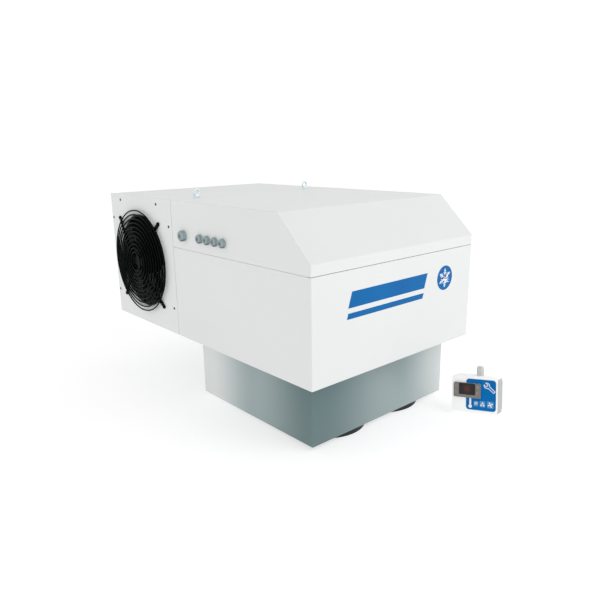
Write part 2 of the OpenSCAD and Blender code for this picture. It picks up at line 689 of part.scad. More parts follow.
// Evaporator on its drip tray, over the divider
tray_wall = 1;
tray_h = 20;
tray_margin = 12;
tray_half_x = evap_half_len + tube_reach + tube_pitch + tray_margin;
tray_half_y = evap_rows * row_pitch / 2 + tray_margin;
tray_y = (divider_y0 + divider_y1) / 2;
evap_coil_z = chamber_floor + tray_wall;
evap_high = floor((chamber_top - chamber_foam - evap_coil_z - fit) / tube_pitch);
module at_evaporator() { translate([0, tray_y, evap_coil_z]) children(); }
module evaporator_fins() { color("lightsteelblue") at_evaporator() coil_fins(evap_half_len, evap_rows, evap_high); }
module evaporator_frame() { color("silver") at_evaporator() coil_frame(evap_half_len, evap_rows, evap_high, 0); }
module evaporator_tubes() { color("peru") at_evaporator() coil_tubes(evap_half_len, evap_rows, evap_high); }
drain_r = 8;
drain_bore_r = 6.5;
drain_pipe_r = 9;
drain_shoulder = 3;
drain_out = 25;
drain_x = evap_half_len;
drain_z = chamber_floor + drain_pipe_r + tray_wall;
module drip_tray() {
    color("silver") difference() {
        block([-tray_half_x, tray_y - tray_half_y, chamber_floor], [tray_half_x, tray_y + tray_half_y, chamber_floor + tray_h]);
        block([-tray_half_x + tray_wall, tray_y - tray_half_y + tray_wall, chamber_floor + tray_wall],
              [tray_half_x - tray_wall, tray_y + tray_half_y - tray_wall, chamber_floor + tray_h + overrun]);
        translate([drain_x, tray_y + tray_half_y, drain_z]) rotate([90, 0, 0])
            cylinder(h = 2 * overrun, r = drain_bore_r, center = true);
    }
}
module drain_pipe() {
    start = tray_y + tray_half_y;
    color("gray") translate([drain_x, start, drain_z]) rotate([-90, 0, 0]) difference() {
        union() {
            cylinder(h = rear_y + drain_shoulder - start, r = drain_pipe_r);
            cylinder(h = rear_y + drain_out - start, r = drain_r);
        }
        translate([0, 0, -overrun]) cylinder(h = rear_y - front_y + drain_out, r = drain_bore_r);
    }
}

// Condenser behind the window in the right side of the rear cover
coil_gap = 6;
coil_depth = cond_rows * row_pitch;
coil_x = half_w - sheet - coil_gap - coil_depth / 2;
coil_z = base_z + sheet + pan_lip;
window_lap = 5;
window_y0 = cond_y - cond_half_len + window_lap;
window_y1 = cond_y + cond_half_len - window_lap;
coil_clear = 14;
cond_high = floor((top_z - sheet - coil_clear - coil_z) / tube_pitch);
window_z0 = coil_z + window_lap;
window_z1 = coil_z + cond_high * tube_pitch - window_lap;
module at_condenser() { translate([coil_x, cond_y, coil_z]) rotate([0, 0, 90]) children(); }
module condenser_fins() { color("lightsteelblue") at_condenser() coil_fins(cond_half_len, cond_rows, cond_high); }
module condenser_frame() { color("silver") at_condenser() coil_frame(cond_half_len, cond_rows, cond_high, pan_lip); }
module condenser_tubes() { color("peru") at_condenser() coil_tubes(cond_half_len, cond_rows, cond_high); }

// Hermetic compressor on rubber grommets
comp_x = 30;
comp_r = 82;
comp_h = 205;
comp_edge = 38;
comp_seam_r = 86;
comp_seam_h = 5;
comp_foot_x = 92;
comp_foot_y = 62;
comp_plate_t = 4;
comp_plate_margin = 16;
comp_bolt_r = 4;
comp_bolt_head_r = 7;
comp_bolt_head_h = 5;
grommet_r = 13;
grommet_h = 16;
comp_z = base_z + sheet + grommet_h;
stub_x = 34;
stub_h = 26;
stub_seat = 20;
stub_z = comp_z + comp_h + stub_h;
module at_compressor_feet() {
    for (x = [-comp_foot_x, comp_foot_x]) for (y = [-comp_foot_y, comp_foot_y])
        translate([comp_x + x, cond_y + y, base_z + sheet]) children();
}
module compressor_shell() {
    color([0.12, 0.12, 0.13]) {
        difference() {
            block([comp_x - comp_foot_x - comp_plate_margin, cond_y - comp_foot_y - comp_plate_margin, comp_z],
                  [comp_x + comp_foot_x + comp_plate_margin, cond_y + comp_foot_y + comp_plate_margin, comp_z + comp_plate_t]);
            at_compressor_feet() cylinder(h = 2 * (grommet_h + comp_plate_t), r = comp_bolt_r + fit);
        }
        translate([comp_x, cond_y, comp_z + comp_plate_t]) {
            drum(comp_r, comp_h - comp_plate_t, comp_edge);
            translate([0, 0, comp_h / 2]) cylinder(h = comp_seam_h, r = comp_seam_r);
        }
        for (side = [-1, 1]) translate([comp_x + side * stub_x, cond_y, comp_z + comp_h - stub_seat])
            cylinder(h = stub_h + stub_seat, r = line_r);
    }
}
module compressor_grommets() {
    color([0.15, 0.15, 0.15]) at_compressor_feet() difference() {
        drum(grommet_r, grommet_h, grommet_r / 4);
        translate([0, 0, -overrun]) cylinder(h = grommet_h + 2 * overrun, r = comp_bolt_r + fit);
    }
}
module compressor_bolts() {
    h = grommet_h + comp_plate_t;
    color("silver") at_compressor_feet() {
        translate([0, 0, -sheet]) cylinder(h = h + sheet, r = comp_bolt_r);
        translate([0, 0, h]) cylinder(h = comp_bolt_head_h, r = comp_bolt_head_r, $fn = 6);
    }
}
terminal_w = 62;
terminal_h = 70;
terminal_d = 34;
module compressor_terminal_cover() {
    z = comp_z + comp_h / 2 + comp_seam_h + comp_plate_t + fit;
    color([0.2, 0.2, 0.2]) difference() {
        block([comp_x - comp_r - terminal_d / 2, cond_y - terminal_w / 2, z], [comp_x - comp_r / 2, cond_y + terminal_w / 2, z + terminal_h]);
        translate([comp_x, cond_y, z - overrun]) cylinder(h = terminal_h + 2 * overrun, r = comp_r + fit);
    }
}

// Liquid receiver and the refrigerant lines
line_r = tube_r;
line_bend = 18;
receiver_side = 150;
receiver_x = half_w - receiver_side;
receiver_gap = 58;
receiver_y = seam_y + bulkhead_rear + receiver_gap;
receiver_r = 38;
receiver_h = 150;
receiver_edge = 14;
receiver_foot = 20;
receiver_stub_x = 16;
receiver_z = base_z + sheet + receiver_foot;
receiver_top = receiver_z + receiver_h + receiver_foot;
module liquid_receiver() {
    color([0.12, 0.12, 0.13]) {
        translate([receiver_x, receiver_y, receiver_z]) drum(receiver_r, receiver_h, receiver_edge);
        translate([receiver_x, receiver_y, base_z + sheet]) cylinder(h = receiver_foot + receiver_edge / 2, r = receiver_r - receiver_edge);
        for (side = [-1, 1]) translate([receiver_x + side * receiver_stub_x, receiver_y, receiver_z + receiver_h - receiver_edge / 2])
            cylinder(h = receiver_foot + receiver_edge / 2, r = line_r);
    }
}
line_clear = 2;
cond_in_y = cond_y - cond_half_len - tube_reach;
cond_in_z = coil_z + (cond_high - 1 / 2) * tube_pitch;
cond_line_y = cond_in_y - tube_pitch / 2 - 2 * line_r - line_clear;
evap_end_x = evap_half_len + tube_reach;
evap_side_x = evap_end_x + line_bend + line_r + line_clear;
suction_y = tray_y + (evap_rows - 1) / 2 * row_pitch;
suction_z = evap_coil_z + tube_pitch / 2;
suction_high_z = suction_z + 2 * line_bend + line_r;
liquid_y = tray_y - (evap_rows - 1) / 2 * row_pitch;
liquid_z = evap_coil_z + (evap_high - 1 / 2) * tube_pitch;
liquid_x = receiver_x + receiver_stub_x;
module at_line_holes() {
    for (p = [[-evap_side_x, suction_high_z], [liquid_x, liquid_z]])
        translate([p[0], seam_y, p[1]]) rotate([90, 0, 0]) children();
}
module suction_line() {
    y = seam_y + bulkhead_rear + 2 * line_bend;
    x = comp_x - stub_x;
    z = stub_z + 2 * line_bend;
    color("peru") pipe([[-evap_end_x, suction_y, suction_z], [-evap_side_x, suction_y, suction_z],
        [-evap_side_x, suction_y, suction_high_z], [-evap_side_x, y, suction_high_z], [x, y, suction_high_z], [x, y, z], [x, cond_y, z], [x, cond_y, stub_z]], line_r, line_bend);
}
module discharge_line() {
    x = comp_x + stub_x;
    y = cond_line_y;
    color("peru") pipe([[x, cond_y, stub_z], [x, cond_y, cond_in_z], [x, y, cond_in_z],
        [coil_x - row_pitch / 2, y, cond_in_z], [coil_x - row_pitch / 2, cond_in_y, cond_in_z]], line_r, line_bend);
}
module liquid_line() {
    y = cond_line_y;
    x = coil_x + row_pitch / 2;
    in_x = receiver_x - receiver_stub_x;
    z = receiver_top + 2 * line_bend;
    turn_y = tray_y + tray_half_y + 3 * line_bend;
    color("peru") {
        pipe([[x, cond_in_y, cond_in_z], [x, y, cond_in_z], [x, y, z], [in_x, y, z], [in_x, receiver_y, z],
            [in_x, receiver_y, receiver_top]], line_r, line_bend);
        pipe([[liquid_x, receiver_y, receiver_top], [liquid_x, receiver_y, liquid_z], [liquid_x, turn_y, liquid_z],
            [evap_side_x, turn_y, liquid_z], [evap_side_x, liquid_y, liquid_z], [evap_end_x, liquid_y, liquid_z]], line_r, line_bend);
    }
}

// Electrical box behind the cable glands
ebox_gap = 34;
ebox_w = 120;
ebox_len = 280;
ebox_wall = 2;
ebox_clear = 14;
ebox_lid_t = 3;
module electrical_box() {
    x0 = -half_w + ebox_gap;
    y1 = seam_y - bulkhead_front - ebox_clear;
    h = top_z - sheet - ebox_clear - chamber_top;
    color("gainsboro") {
        difference() {
            block([x0, y1 - ebox_len, chamber_top], [x0 + ebox_w, y1, chamber_top + h - ebox_lid_t]);
            block([x0 + ebox_wall, y1 - ebox_len + ebox_wall, chamber_top + ebox_wall],
                  [x0 + ebox_w - ebox_wall, y1 - ebox_wall, chamber_top + h]);
            for (g = glands) translate([x0, g[0], gland_z]) rotate([0, 90, 0])
                cylinder(h = 2 * overrun, r = g[1] / 2, center = true);
        }
        block([x0, y1 - ebox_len, chamber_top + h - ebox_lid_t], [x0 + ebox_w, y1, chamber_top + h]);
    }
}

// Cable glands: threaded body with a hex flange, domed cap nut, rubber seal and a locknut inside
gland_big_d = 25;
gland_d = 20;
gland_back = 72;
gland_skip = 96;
gland_pitch = 40.5;
gland_rise = 43;
gland_z = hood_z + gland_rise;
glands = concat([[seam_y - gland_back, gland_big_d]],
    [for (i = [0:3]) [seam_y - gland_back - gland_skip - i * gland_pitch, gland_d]]);
gland_hex_share = 0.69;
gland_flange_share = 0.16;
gland_nut_share = 0.42;
gland_dome_share = 0.08;
gland_bore_share = 0.36;
gland_cable_share = 0.12;
gland_thread_share = 0.5;
gland_locknut_share = 0.3;
module gland_body(d, tall) {
    difference() {
        union() {
            translate([0, 0, -gland_thread_share * d]) cylinder(h = gland_thread_share * d, r = d / 2);
            cylinder(h = gland_flange_share * d * tall, r = gland_hex_share * d, $fn = 6);
        }
        translate([0, 0, -d]) cylinder(h = d + 2 * gland_flange_share * d * tall, r = gland_bore_share * d);
    }
}
module gland_nut(d, tall) {
    translate([0, 0, gland_flange_share * d * tall]) difference() {
        union() {
            cylinder(h = gland_nut_share * d * tall, r = gland_hex_share * d, $fn = 6);
            translate([0, 0, gland_nut_share * d * tall])
                cylinder(h = gland_dome_share * d * tall, r1 = gland_hex_share * d * cos(30), r2 = gland_thread_share * d);
        }
        translate([0, 0, -overrun]) cylinder(h = d * tall + overrun, r = gland_bore_share * d);
    }
}
module gland_locknut(d) {
    translate([0, 0, -sheet - gland_locknut_share * d]) difference() {
        cylinder(h = gland_locknut_share * d, r = gland_hex_share * d, $fn = 6);
        translate([0, 0, -overrun]) cylinder(h = d, r = d / 2 + run_fit);
    }
}
module gland_seal(d, tall) {
    low = gland_flange_share * d * tall;
    difference() {
        translate([0, 0, low])
            cylinder(h = (gland_nut_share + gland_dome_share) * d * tall - fit, r = gland_bore_share * d - run_fit);
        translate([0, 0, low - overrun]) cylinder(h = d * tall + 2 * overrun, r = gland_cable_share * d);
    }
}
module gland_bodies() { color("darkgray") for (g = glands) on_left(g[0], gland_z) gland_body(g[1], 1); }
module gland_nuts() {
    color("darkgray") for (g = glands) on_left(g[0], gland_z) {
        gland_nut(g[1], 1);
        gland_locknut(g[1]);
    }
}
module gland_seals() { color([0.2, 0.2, 0.2]) for (g = glands) on_left(g[0], gland_z) gland_seal(g[1], 1); }

// Control box, drawn with its front face on Y = 0, X to the right and its lower edge on Z = 0
panel_x = 212.4;
panel_y = -459.3;
panel_d = panel_base_d + panel_cover_d;
panel_z = plug_z - evap_drop + panel_d * sin(panel_lean) + panel_w / 2 * sin(abs(panel_roll)) * cos(panel_lean);
panel_corner_r = 6;
panel_wall = 3;
wall_hole_r = 2.3;
wall_hole_x = 45;
wall_hole_z = 30;
panel_gland_x = 6.5;
panel_gland_d = 16;
panel_gland_tall = 2.7;
module at_panel() {
    translate([panel_x, panel_y, panel_z]) rotate([-panel_lean, 0, panel_turn]) rotate([0, panel_roll, 0]) children();
}
module panel_plan(inset) {
    r = max(panel_corner_r - inset, fit);
    polygon(filleted(box_points(-panel_w / 2 + inset, inset, panel_w / 2 - inset, panel_h - inset), [r, r, r, r]));
}
module at_panel_gland() { translate([panel_gland_x, panel_cover_d + panel_base_d / 2, panel_h]) children(); }
module at_wall_holes() {
    for (side = [-1, 1]) translate([side * wall_hole_x, panel_d, panel_h / 2 + side * wall_hole_z]) rotate([90, 0, 0]) children();
}
// Corner pillars take the cover screws, whose heads sit in pockets that open to the side and rear
pillar_w = 13;
pillar_inset = 7;
pocket_w = 9;
pocket_h = 9;
pocket_d = 8;
module at_corners() {
    for (x = [-1, 1]) for (z = [-1, 1])
        translate([x * (panel_w / 2 - pillar_inset), 0, panel_h / 2 + z * (panel_h / 2 - pillar_inset)]) children();
}
module pillars(y0, y1) {
    intersection() {
        at_corners() block([-pillar_w / 2, y0, -pillar_w / 2], [pillar_w / 2, y1, pillar_w / 2]);
        along_y(y0, y1) panel_plan(panel_wall / 2);
    }
}
module at_panel_screws_rear() {
    at_corners() translate([0, panel_d - pocket_d, 0]) rotate([-90, 0, 0]) children();
}
module panel_box() {
    color("whitesmoke") at_panel() difference() {
        union() {
            difference() {
                along_y(panel_cover_d, panel_d) panel_plan(0);
                along_y(panel_cover_d - overrun, panel_d - panel_wall) panel_plan(panel_wall);
            }
            pillars(panel_cover_d, panel_d);
        }
        at_wall_holes() cylinder(h = 2 * overrun, r = wall_hole_r, center = true);
        at_panel_gland() cylinder(h = 2 * overrun, r = panel_gland_d / 2 + fit, center = true);
        at_panel_screws_rear() translate([0, 0, -panel_d]) cylinder(h = panel_d, r = screw_r + fit);
        for (x = [-1, 1]) for (z = [-1, 1])
            translate([x * (panel_w / 2 - pillar_inset + overrun), panel_d - pocket_d / 2 + overrun / 2, panel_h / 2 + z * (panel_h / 2 - pillar_inset)])
                cube([pocket_w + 2 * overrun, pocket_d + overrun, pocket_h], center = true);
    }
}
module panel_cover() {
    color("whitesmoke") at_panel() difference() {
        union() {
            difference() {
                along_y(0, panel_cover_d) panel_plan(0);
                along_y(panel_wall, panel_cover_d + overrun) panel_plan(panel_wall);
            }
            pillars(panel_wall / 2, panel_cover_d);
        }
        along_y(-overrun, panel_cover_d) thermostat_body(fit);
        at_panel_screws_rear() translate([0, 0, -panel_d + pocket_d + panel_wall]) cylinder(h = panel_d, r = screw_r + fit);
    }
}
panel_screw_len = 45;
module panel_screws() {
    color("silver") at_panel() at_panel_screws_rear() screw(panel_screw_len);
}
module panel_gland() {
    color("lightgray") at_panel() at_panel_gland() {
        gland_body(panel_gland_d, panel_gland_tall);
        gland_nut(panel_gland_d, panel_gland_tall);
        gland_seal(panel_gland_d, panel_gland_tall);
    }
}

// Thermostat: bezel, dark window, four keys
bezel_w = 83;
bezel_h = 45;
bezel_x = -22.5;
bezel_z = 69;
bezel_t = 5;
bezel_r = 3;
bezel_lap = 3;
thermostat_d = 40;
window_w = 50;
window_h = 35;
window_rise = 4;
window_t = 1.5;
key_w = 10;
key_h = 13;
key_out = 1.2;
key_t = 3;
key_travel = 1;
key_x = 33;
key_z = 8;
label_w = 90;
label_h = 95;
label_x = 19;
label_z = 57.5;
label_t = 0.8;
label_r = 9;
function key_at(i) = [bezel_x + (i % 2 == 0 ? -1 : 1) * key_x, bezel_z + window_rise + (i < 2 ? 1 : -1) * key_z];
module rounded_plate(x, z, w, h, r) {
    polygon(filleted(box_points(x - w / 2, z - h / 2, x + w / 2, z + h / 2), [r, r, r, r]));
}
module thermostat_body(play) {
    rounded_plate(bezel_x, bezel_z, bezel_w - 2 * bezel_lap + 2 * play, bezel_h - 2 * bezel_lap + 2 * play, bezel_r);
}
module thermostat_case() {
    color("dimgray") at_panel() difference() {
        union() {
            along_y(-bezel_t, 0) rounded_plate(bezel_x, bezel_z, bezel_w, bezel_h, bezel_r);
            along_y(0, thermostat_d) thermostat_body(0);
        }
        along_y(-bezel_t - overrun, -bezel_t + window_t) rounded_plate(bezel_x, bezel_z + window_rise, window_w + 2 * fit, window_h + 2 * fit, bezel_r);
        for (i = [0:3]) along_y(-bezel_t - overrun, -bezel_t + key_t + key_travel)
            rounded_plate(key_at(i)[0], key_at(i)[1], key_w + 2 * fit, key_h + 2 * fit, bezel_r);
    }
}
module thermostat_window() {
    color([0.05, 0.05, 0.06]) at_panel() along_y(-bezel_t + fit, -bezel_t + window_t)
        rounded_plate(bezel_x, bezel_z + window_rise, window_w, window_h, bezel_r);
}
module key(i) {
    color("gray") at_panel() along_y(-bezel_t - key_out, -bezel_t + key_t - fit)
        rounded_plate(key_at(i)[0], key_at(i)[1], key_w, key_h, bezel_r);
}
module panel_label() {
    color([0, 0.36, 0.66]) at_panel() along_y(-label_t, 0) difference() {
        rounded_plate(label_x, label_z, label_w, label_h, label_r);
        rounded_plate(bezel_x, bezel_z, bezel_w + 2 * fit, bezel_h + 2 * fit, bezel_r);
    }
}

base_pan();
roof_gasket();
front_casing();
hood();
fan_panel();
rear_cover();
bulkhead();
casing_screws();
eyebolts();
chamber_insulation();
plug_sleeve();
plug_insulation();
plug_divider();
plug_bottom();
evap_ring(-1);  // evap_ring_left
evap_ring(1);  // evap_ring_right
evap_guard(-1);  // evap_guard_left
evap_guard(1);  // evap_guard_right
evap_motor(-1);  // evap_motor_left
evap_motor(1);  // evap_motor_right
evap_rotor(-1);  // evap_rotor_left
evap_rotor(1);  // evap_rotor_right
evap_impeller(-1);  // evap_impeller_left
evap_impeller(1);  // evap_impeller_right
evaporator_fins();
evaporator_frame();
evaporator_tubes();
drip_tray();
drain_pipe();
cond_shroud();
cond_guard();
cond_motor();
cond_rotor();
cond_impeller();
condenser_fins();
condenser_frame();
condenser_tubes();
compressor_shell();
compressor_grommets();
compressor_bolts();
compressor_terminal_cover();
liquid_receiver();
discharge_line();
suction_line();
liquid_line();
electrical_box();
gland_bodies();
gland_nuts();
gland_seals();
panel_box();
panel_cover();
panel_screws();
panel_label();
panel_gland();
thermostat_case();
thermostat_window();
key(0);  // key_1
key(1);  // key_2
key(2);  // key_3
key(3);  // key_4
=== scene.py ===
# Looks of the roof-mounted monoblock refrigeration unit and its control box.
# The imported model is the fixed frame: every piece below is in metres, in that frame.
import math

import bmesh
import bpy
from mathutils import Matrix, Vector


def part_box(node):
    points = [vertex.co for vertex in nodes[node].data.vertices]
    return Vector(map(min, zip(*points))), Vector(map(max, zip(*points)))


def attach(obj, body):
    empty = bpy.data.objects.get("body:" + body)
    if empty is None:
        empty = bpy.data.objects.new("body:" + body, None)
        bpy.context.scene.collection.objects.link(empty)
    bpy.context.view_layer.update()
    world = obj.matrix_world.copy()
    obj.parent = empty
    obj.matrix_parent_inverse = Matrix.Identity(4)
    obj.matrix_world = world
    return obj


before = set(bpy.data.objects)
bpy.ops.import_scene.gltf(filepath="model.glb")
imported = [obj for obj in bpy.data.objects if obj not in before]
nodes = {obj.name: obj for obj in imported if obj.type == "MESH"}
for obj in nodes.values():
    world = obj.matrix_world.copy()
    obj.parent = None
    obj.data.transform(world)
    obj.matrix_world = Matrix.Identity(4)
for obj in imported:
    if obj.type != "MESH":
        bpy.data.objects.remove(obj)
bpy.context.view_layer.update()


# CAMERA
# Stands at the front left, a little above the lid, where the photograph was taken.
# Its place, turn and lens come from the box edges of the housing in the photograph.
camera_place = Vector((-1.28987, -1.36972, 0.61759))
camera_yaw = math.radians(41.172)
camera_dip = math.radians(14.686)
camera_roll = math.radians(-0.934)
camera_lens_mm = 35.53
sensor_mm = 36.0
ahead = Vector((math.sin(camera_yaw) * math.cos(camera_dip),
                math.cos(camera_yaw) * math.cos(camera_dip),
                -math.sin(camera_dip)))
level_right = Vector((math.cos(camera_yaw), -math.sin(camera_yaw), 0.0))
level_up = level_right.cross(ahead)
right = level_right * math.cos(camera_roll) + level_up * math.sin(camera_roll)
up = level_up * math.cos(camera_roll) - level_right * math.sin(camera_roll)
camera_data = bpy.data.cameras.new("photo_camera")
camera_data.sensor_width = sensor_mm
camera_data.lens = camera_lens_mm
camera_data.clip_start = 0.05
camera_data.clip_end = 60.0
camera = bpy.data.objects.new("photo_camera", camera_data)
camera.matrix_world = Matrix((
    (right.x, up.x, -ahead.x, camera_place.x),
    (right.y, up.y, -ahead.y, camera_place.y),
    (right.z, up.z, -ahead.z, camera_place.z),
    (0.0, 0.0, 0.0, 1.0)))
bpy.context.scene.collection.objects.link(camera)
bpy.context.scene.camera = camera


# HOUSING PANELS
# The front casing, its sloping hood, the fan panel and the rear cover are folded from 1.5 mm
# steel and powder coated in a cool white. The coat has a fine orange peel, a highlight is
# painted along the folds, and some dust lies on the level faces.
def new_group(name, inputs, outputs):
    """A shader node group with named sockets; each input is (kind, name, default)."""
    group = bpy.data.node_groups.new(name, "ShaderNodeTree")
    for kind, label, default in inputs:
        socket = group.interface.new_socket(label, in_out="INPUT", socket_type="NodeSocket" + kind)
        if default is not None:
            socket.default_value = default
    for kind, label in outputs:
        group.interface.new_socket(label, in_out="OUTPUT", socket_type="NodeSocket" + kind)
    return group, group.nodes.new("NodeGroupInput"), group.nodes.new("NodeGroupOutput")


def feed(tree, socket, value):
    """Links a socket to another node's output, or sets it to a constant."""
    if isinstance(value, bpy.types.NodeSocket):
        tree.links.new(value, socket)
    else:
        socket.default_value = value


def add(tree, kind, settings=None, **feeds):
    """Adds a node. Each feed names a socket, as in0 by its number or From_Min by its label."""
    node = tree.nodes.new("ShaderNode" + kind)
    for key, value in (settings or {}).items():
        setattr(node, key, value)
    for key, value in feeds.items():
        numbered = key.startswith("in") and key[2:].isdigit()
        feed(tree, node.inputs[int(key[2:]) if numbered else key.replace("_", " ")], value)
    return node


def own_place(tree):
    """Each point's place in its object's own space, which is the frame for a fixed piece."""
    return add(tree, "TexCoord").outputs["Object"]


def math_step(tree, operation, first, second, clamp=False):
    """One sum on two values."""
    return add(tree, "Math", {"operation": operation, "use_clamp": clamp}, in0=first,
               in1=second).outputs[0]


def speckle_group():
    """Fine and coarse noise together: a mask from 0 to 1, and a height."""
    group, inside, outside = new_group(
        "Speckle",
        [("Float", "Scale", 400.0), ("Float", "Detail", 4.0), ("Vector", "Stretch", (1.0, 1.0, 1.0)),
         ("Float", "Low", 0.35), ("Float", "High", 0.65)],
        [("Float", "Mask"), ("Float", "Height")])
    stretched = add(group, "Mapping", in0=own_place(group), in3=inside.outputs["Stretch"])
    noise = add(group, "TexNoise", Vector=stretched.outputs[0], Scale=inside.outputs["Scale"],
                Detail=inside.outputs["Detail"])
    mask = add(group, "MapRange", Value=noise.outputs[0], From_Min=inside.outputs["Low"],
               From_Max=inside.outputs["High"])
    group.links.new(mask.outputs[0], outside.inputs["Mask"])
    group.links.new(noise.outputs[0], outside.inputs["Height"])
    return group


def tone_group():
    """Two close tones of one finish, laid in broad clouds."""
    group, inside, outside = new_group(
        "Cloudy tone",
        [("Color", "Tone A", (0.8, 0.8, 0.8, 1.0)), ("Color", "Tone B", (0.7, 0.7, 0.7, 1.0)),
         ("Float", "Scale", 5.0)],
        [("Color", "Color"), ("Float", "Cloud")])
    noise = add(group, "TexNoise", Vector=own_place(group), Scale=inside.outputs["Scale"], Detail=3.0)
    spread = add(group, "MapRange", Value=noise.outputs[0], From_Min=0.35, From_Max=0.65)
    mixed = add(group, "Mix", {"data_type": "RGBA"}, in0=spread.outputs[0],
                in6=inside.outputs["Tone A"], in7=inside.outputs["Tone B"])
    group.links.new(mixed.outputs[2], outside.inputs["Color"])
    group.links.new(spread.outputs[0], outside.inputs["Cloud"])
    return group


def edge_wear_and_highlight_group():
    """Where a fold or rim turns: a mask for edge wear and painted highlight, broken up by noise, and
    a normal that rounds the edge.
    """
    group, inside, outside = new_group(
        "Edge wear and highlight",
        [("Float", "Radius", 0.001), ("Float", "Break Up", 60.0), ("Float", "Amount", 1.0)],
        [("Float", "Mask"), ("Vector", "Normal")])
    rounded = add(group, "Bevel", {"samples": 4}, Radius=inside.outputs["Radius"])
    flat = add(group, "NewGeometry")
    turn = add(group, "VectorMath", {"operation": "DOT_PRODUCT"}, in0=rounded.outputs[0],
               in1=flat.outputs["Normal"])
    edge = add(group, "MapRange", Value=turn.outputs["Value"], From_Min=0.995, From_Max=0.85)
    noise = add(group, "TexNoise", Vector=own_place(group), Scale=inside.outputs["Break Up"],
                Detail=4.0)
    broken = math_step(group, "MULTIPLY", edge.outputs[0], noise.outputs[0], clamp=True)
    amount = math_step(group, "MULTIPLY", broken, inside.outputs["Amount"], clamp=True)
    group.links.new(amount, outside.inputs["Mask"])
    group.links.new(rounded.outputs[0], outside.inputs["Normal"])
    return group


def dust_group():
    """Dust that has settled on faces that look up, in soft patches."""
    group, inside, outside = new_group(
        "Settled dust", [("Float", "Amount", 0.2), ("Float", "Scale", 9.0)], [("Float", "Mask")])
    surface = add(group, "NewGeometry")
    split = add(group, "SeparateXYZ", in0=surface.outputs["Normal"])
    upward = add(group, "MapRange", Value=split.outputs["Z"], From_Min=0.3, From_Max=1.0)
    noise = add(group, "TexNoise", Vector=own_place(group), Scale=inside.outputs["Scale"], Detail=6.0)
    patchy = math_step(group, "MULTIPLY", upward.outputs[0], noise.outputs[0])
    amount = math_step(group, "MULTIPLY", patchy, inside.outputs["Amount"], clamp=True)
    group.links.new(amount, outside.inputs["Mask"])
    return group


speckle, cloudy = speckle_group(), tone_group()
edge_wear_and_highlight, settled_dust = edge_wear_and_highlight_group(), dust_group()


def place_group(tree, group, **feeds):
    """Puts a shared effect into a material with its own values."""
    node = tree.nodes.new("ShaderNodeGroup")
    node.node_tree = group
    for key, value in feeds.items():
        feed(tree, node.inputs[key.replace("_", " ")], value)
    return node


def rgba(colour):
    """A colour as a socket takes it, with full alpha."""
    return (*colour, 1.0)


def blend_colour(tree, share, first, second):
    """The colour that goes from first to second as share goes from 0 to 1."""
    first, second = (colour if isinstance(colour, bpy.types.NodeSocket) else rgba(colour)
                     for colour in (first, second))
    return add(tree, "Mix", {"data_type": "RGBA"}, in0=share, in6=first, in7=second).outputs[2]


def surface_finish(name, tone_a, tone_b, cloud_scale=6.0, grain_scale=900.0, stretch=(1, 1, 1),
                   rough=(0.4, 0.5), bump=0.0002, edge_radius=0.0008, edge_tone=None, edge=0.5,
                   dust=0.1, dust_tone=(0.42, 0.40, 0.36), metallic=0.0, coat=0.0, coat_rough=0.1,
                   specular=0.5, colour_from=None):
    """One finish: clouded tones, edge wear with painted edge highlight, and dust in the colour, grain
    in the gloss and bump.

    rough is the roughness where the grain is finest and coarsest, bump the grain's height in
    metres, and colour_from a function that works over the clouded tone.
    """
    material = bpy.data.materials.new(name)
    material.use_nodes = True
    tree = material.node_tree
    shader = tree.nodes["Principled BSDF"]
    tones = place_group(tree, cloudy, Tone_A=rgba(tone_a), Tone_B=rgba(tone_b), Scale=cloud_scale)
    grain = place_group(tree, speckle, Scale=grain_scale, Stretch=stretch)
    # the rim mask paints edge wear, and where the edge tone is lighter, a painted highlight
    rim = place_group(tree, edge_wear_and_highlight, Radius=edge_radius, Amount=edge * 2)
    dusty = place_group(tree, settled_dust, Amount=dust)
    colour = tones.outputs["Color"]
    if colour_from is not None:
        colour = colour_from(tree, colour)
    colour = blend_colour(tree, rim.outputs["Mask"], colour, edge_tone or tone_a)
    colour = blend_colour(tree, dusty.outputs["Mask"], colour, dust_tone)
    tree.links.new(colour, shader.inputs["Base Color"])
    gloss = add(tree, "MapRange", Value=grain.outputs["Mask"], To_Min=rough[0], To_Max=rough[1])
    tree.links.new(gloss.outputs[0], shader.inputs["Roughness"])
    relief = add(tree, "Bump", Height=grain.outputs["Height"], Normal=rim.outputs["Normal"],
                 Distance=bump, Strength=1.0)
    tree.links.new(relief.outputs[0], shader.inputs["Normal"])
    shader.inputs["Metallic"].default_value = metallic
    shader.inputs["Coat Weight"].default_value = coat
    shader.inputs["Coat Roughness"].default_value = coat_rough
    shader.inputs["Specular IOR Level"].default_value = specular
    return material


def finish_nodes(material, *names):
    """Puts a finish on CAD pieces, which keep their own shape."""
    for name in names:
        piece = nodes[name]
        if not piece.material_slots:
            piece.data.materials.append(material)
        for own in piece.material_slots:
            own.material = material


# the light edge tone paints a highlight along the folds
white_coat = surface_finish(
    "white_powder_coat", (0.728, 0.738, 0.730), (0.715, 0.725, 0.718), cloud_scale=2.5,
    grain_scale=1400.0, rough=(0.36, 0.46), bump=0.00006, edge_radius=0.0012,
    edge_tone=(0.90, 0.92, 0.93), edge=0.5, dust=0.05, dust_tone=(0.62, 0.61, 0.58))
finish_nodes(white_coat, "front_casing", "hood", "fan_panel", "rear_cover")


# GALVANISED PARTS
# The base pan, the bulkhead, the fan shroud and the electrical box are bare galvanised steel.
# The zinc froze in flat crystals, so neighbouring patches shine at slightly different angles.
def zinc_spangle(tree, colour):
    """Darkens the colour crystal by crystal."""
    crystals = add(tree, "TexVoronoi", Vector=own_place(tree), Scale=85.0)
    shade = add(tree, "SeparateColor", in0=crystals.outputs["Color"])
    share = add(tree, "MapRange", Value=shade.outputs[0], To_Min=0.0, To_Max=0.55)
    return blend_colour(tree, share.outputs[0], colour, (0.42, 0.45, 0.47))


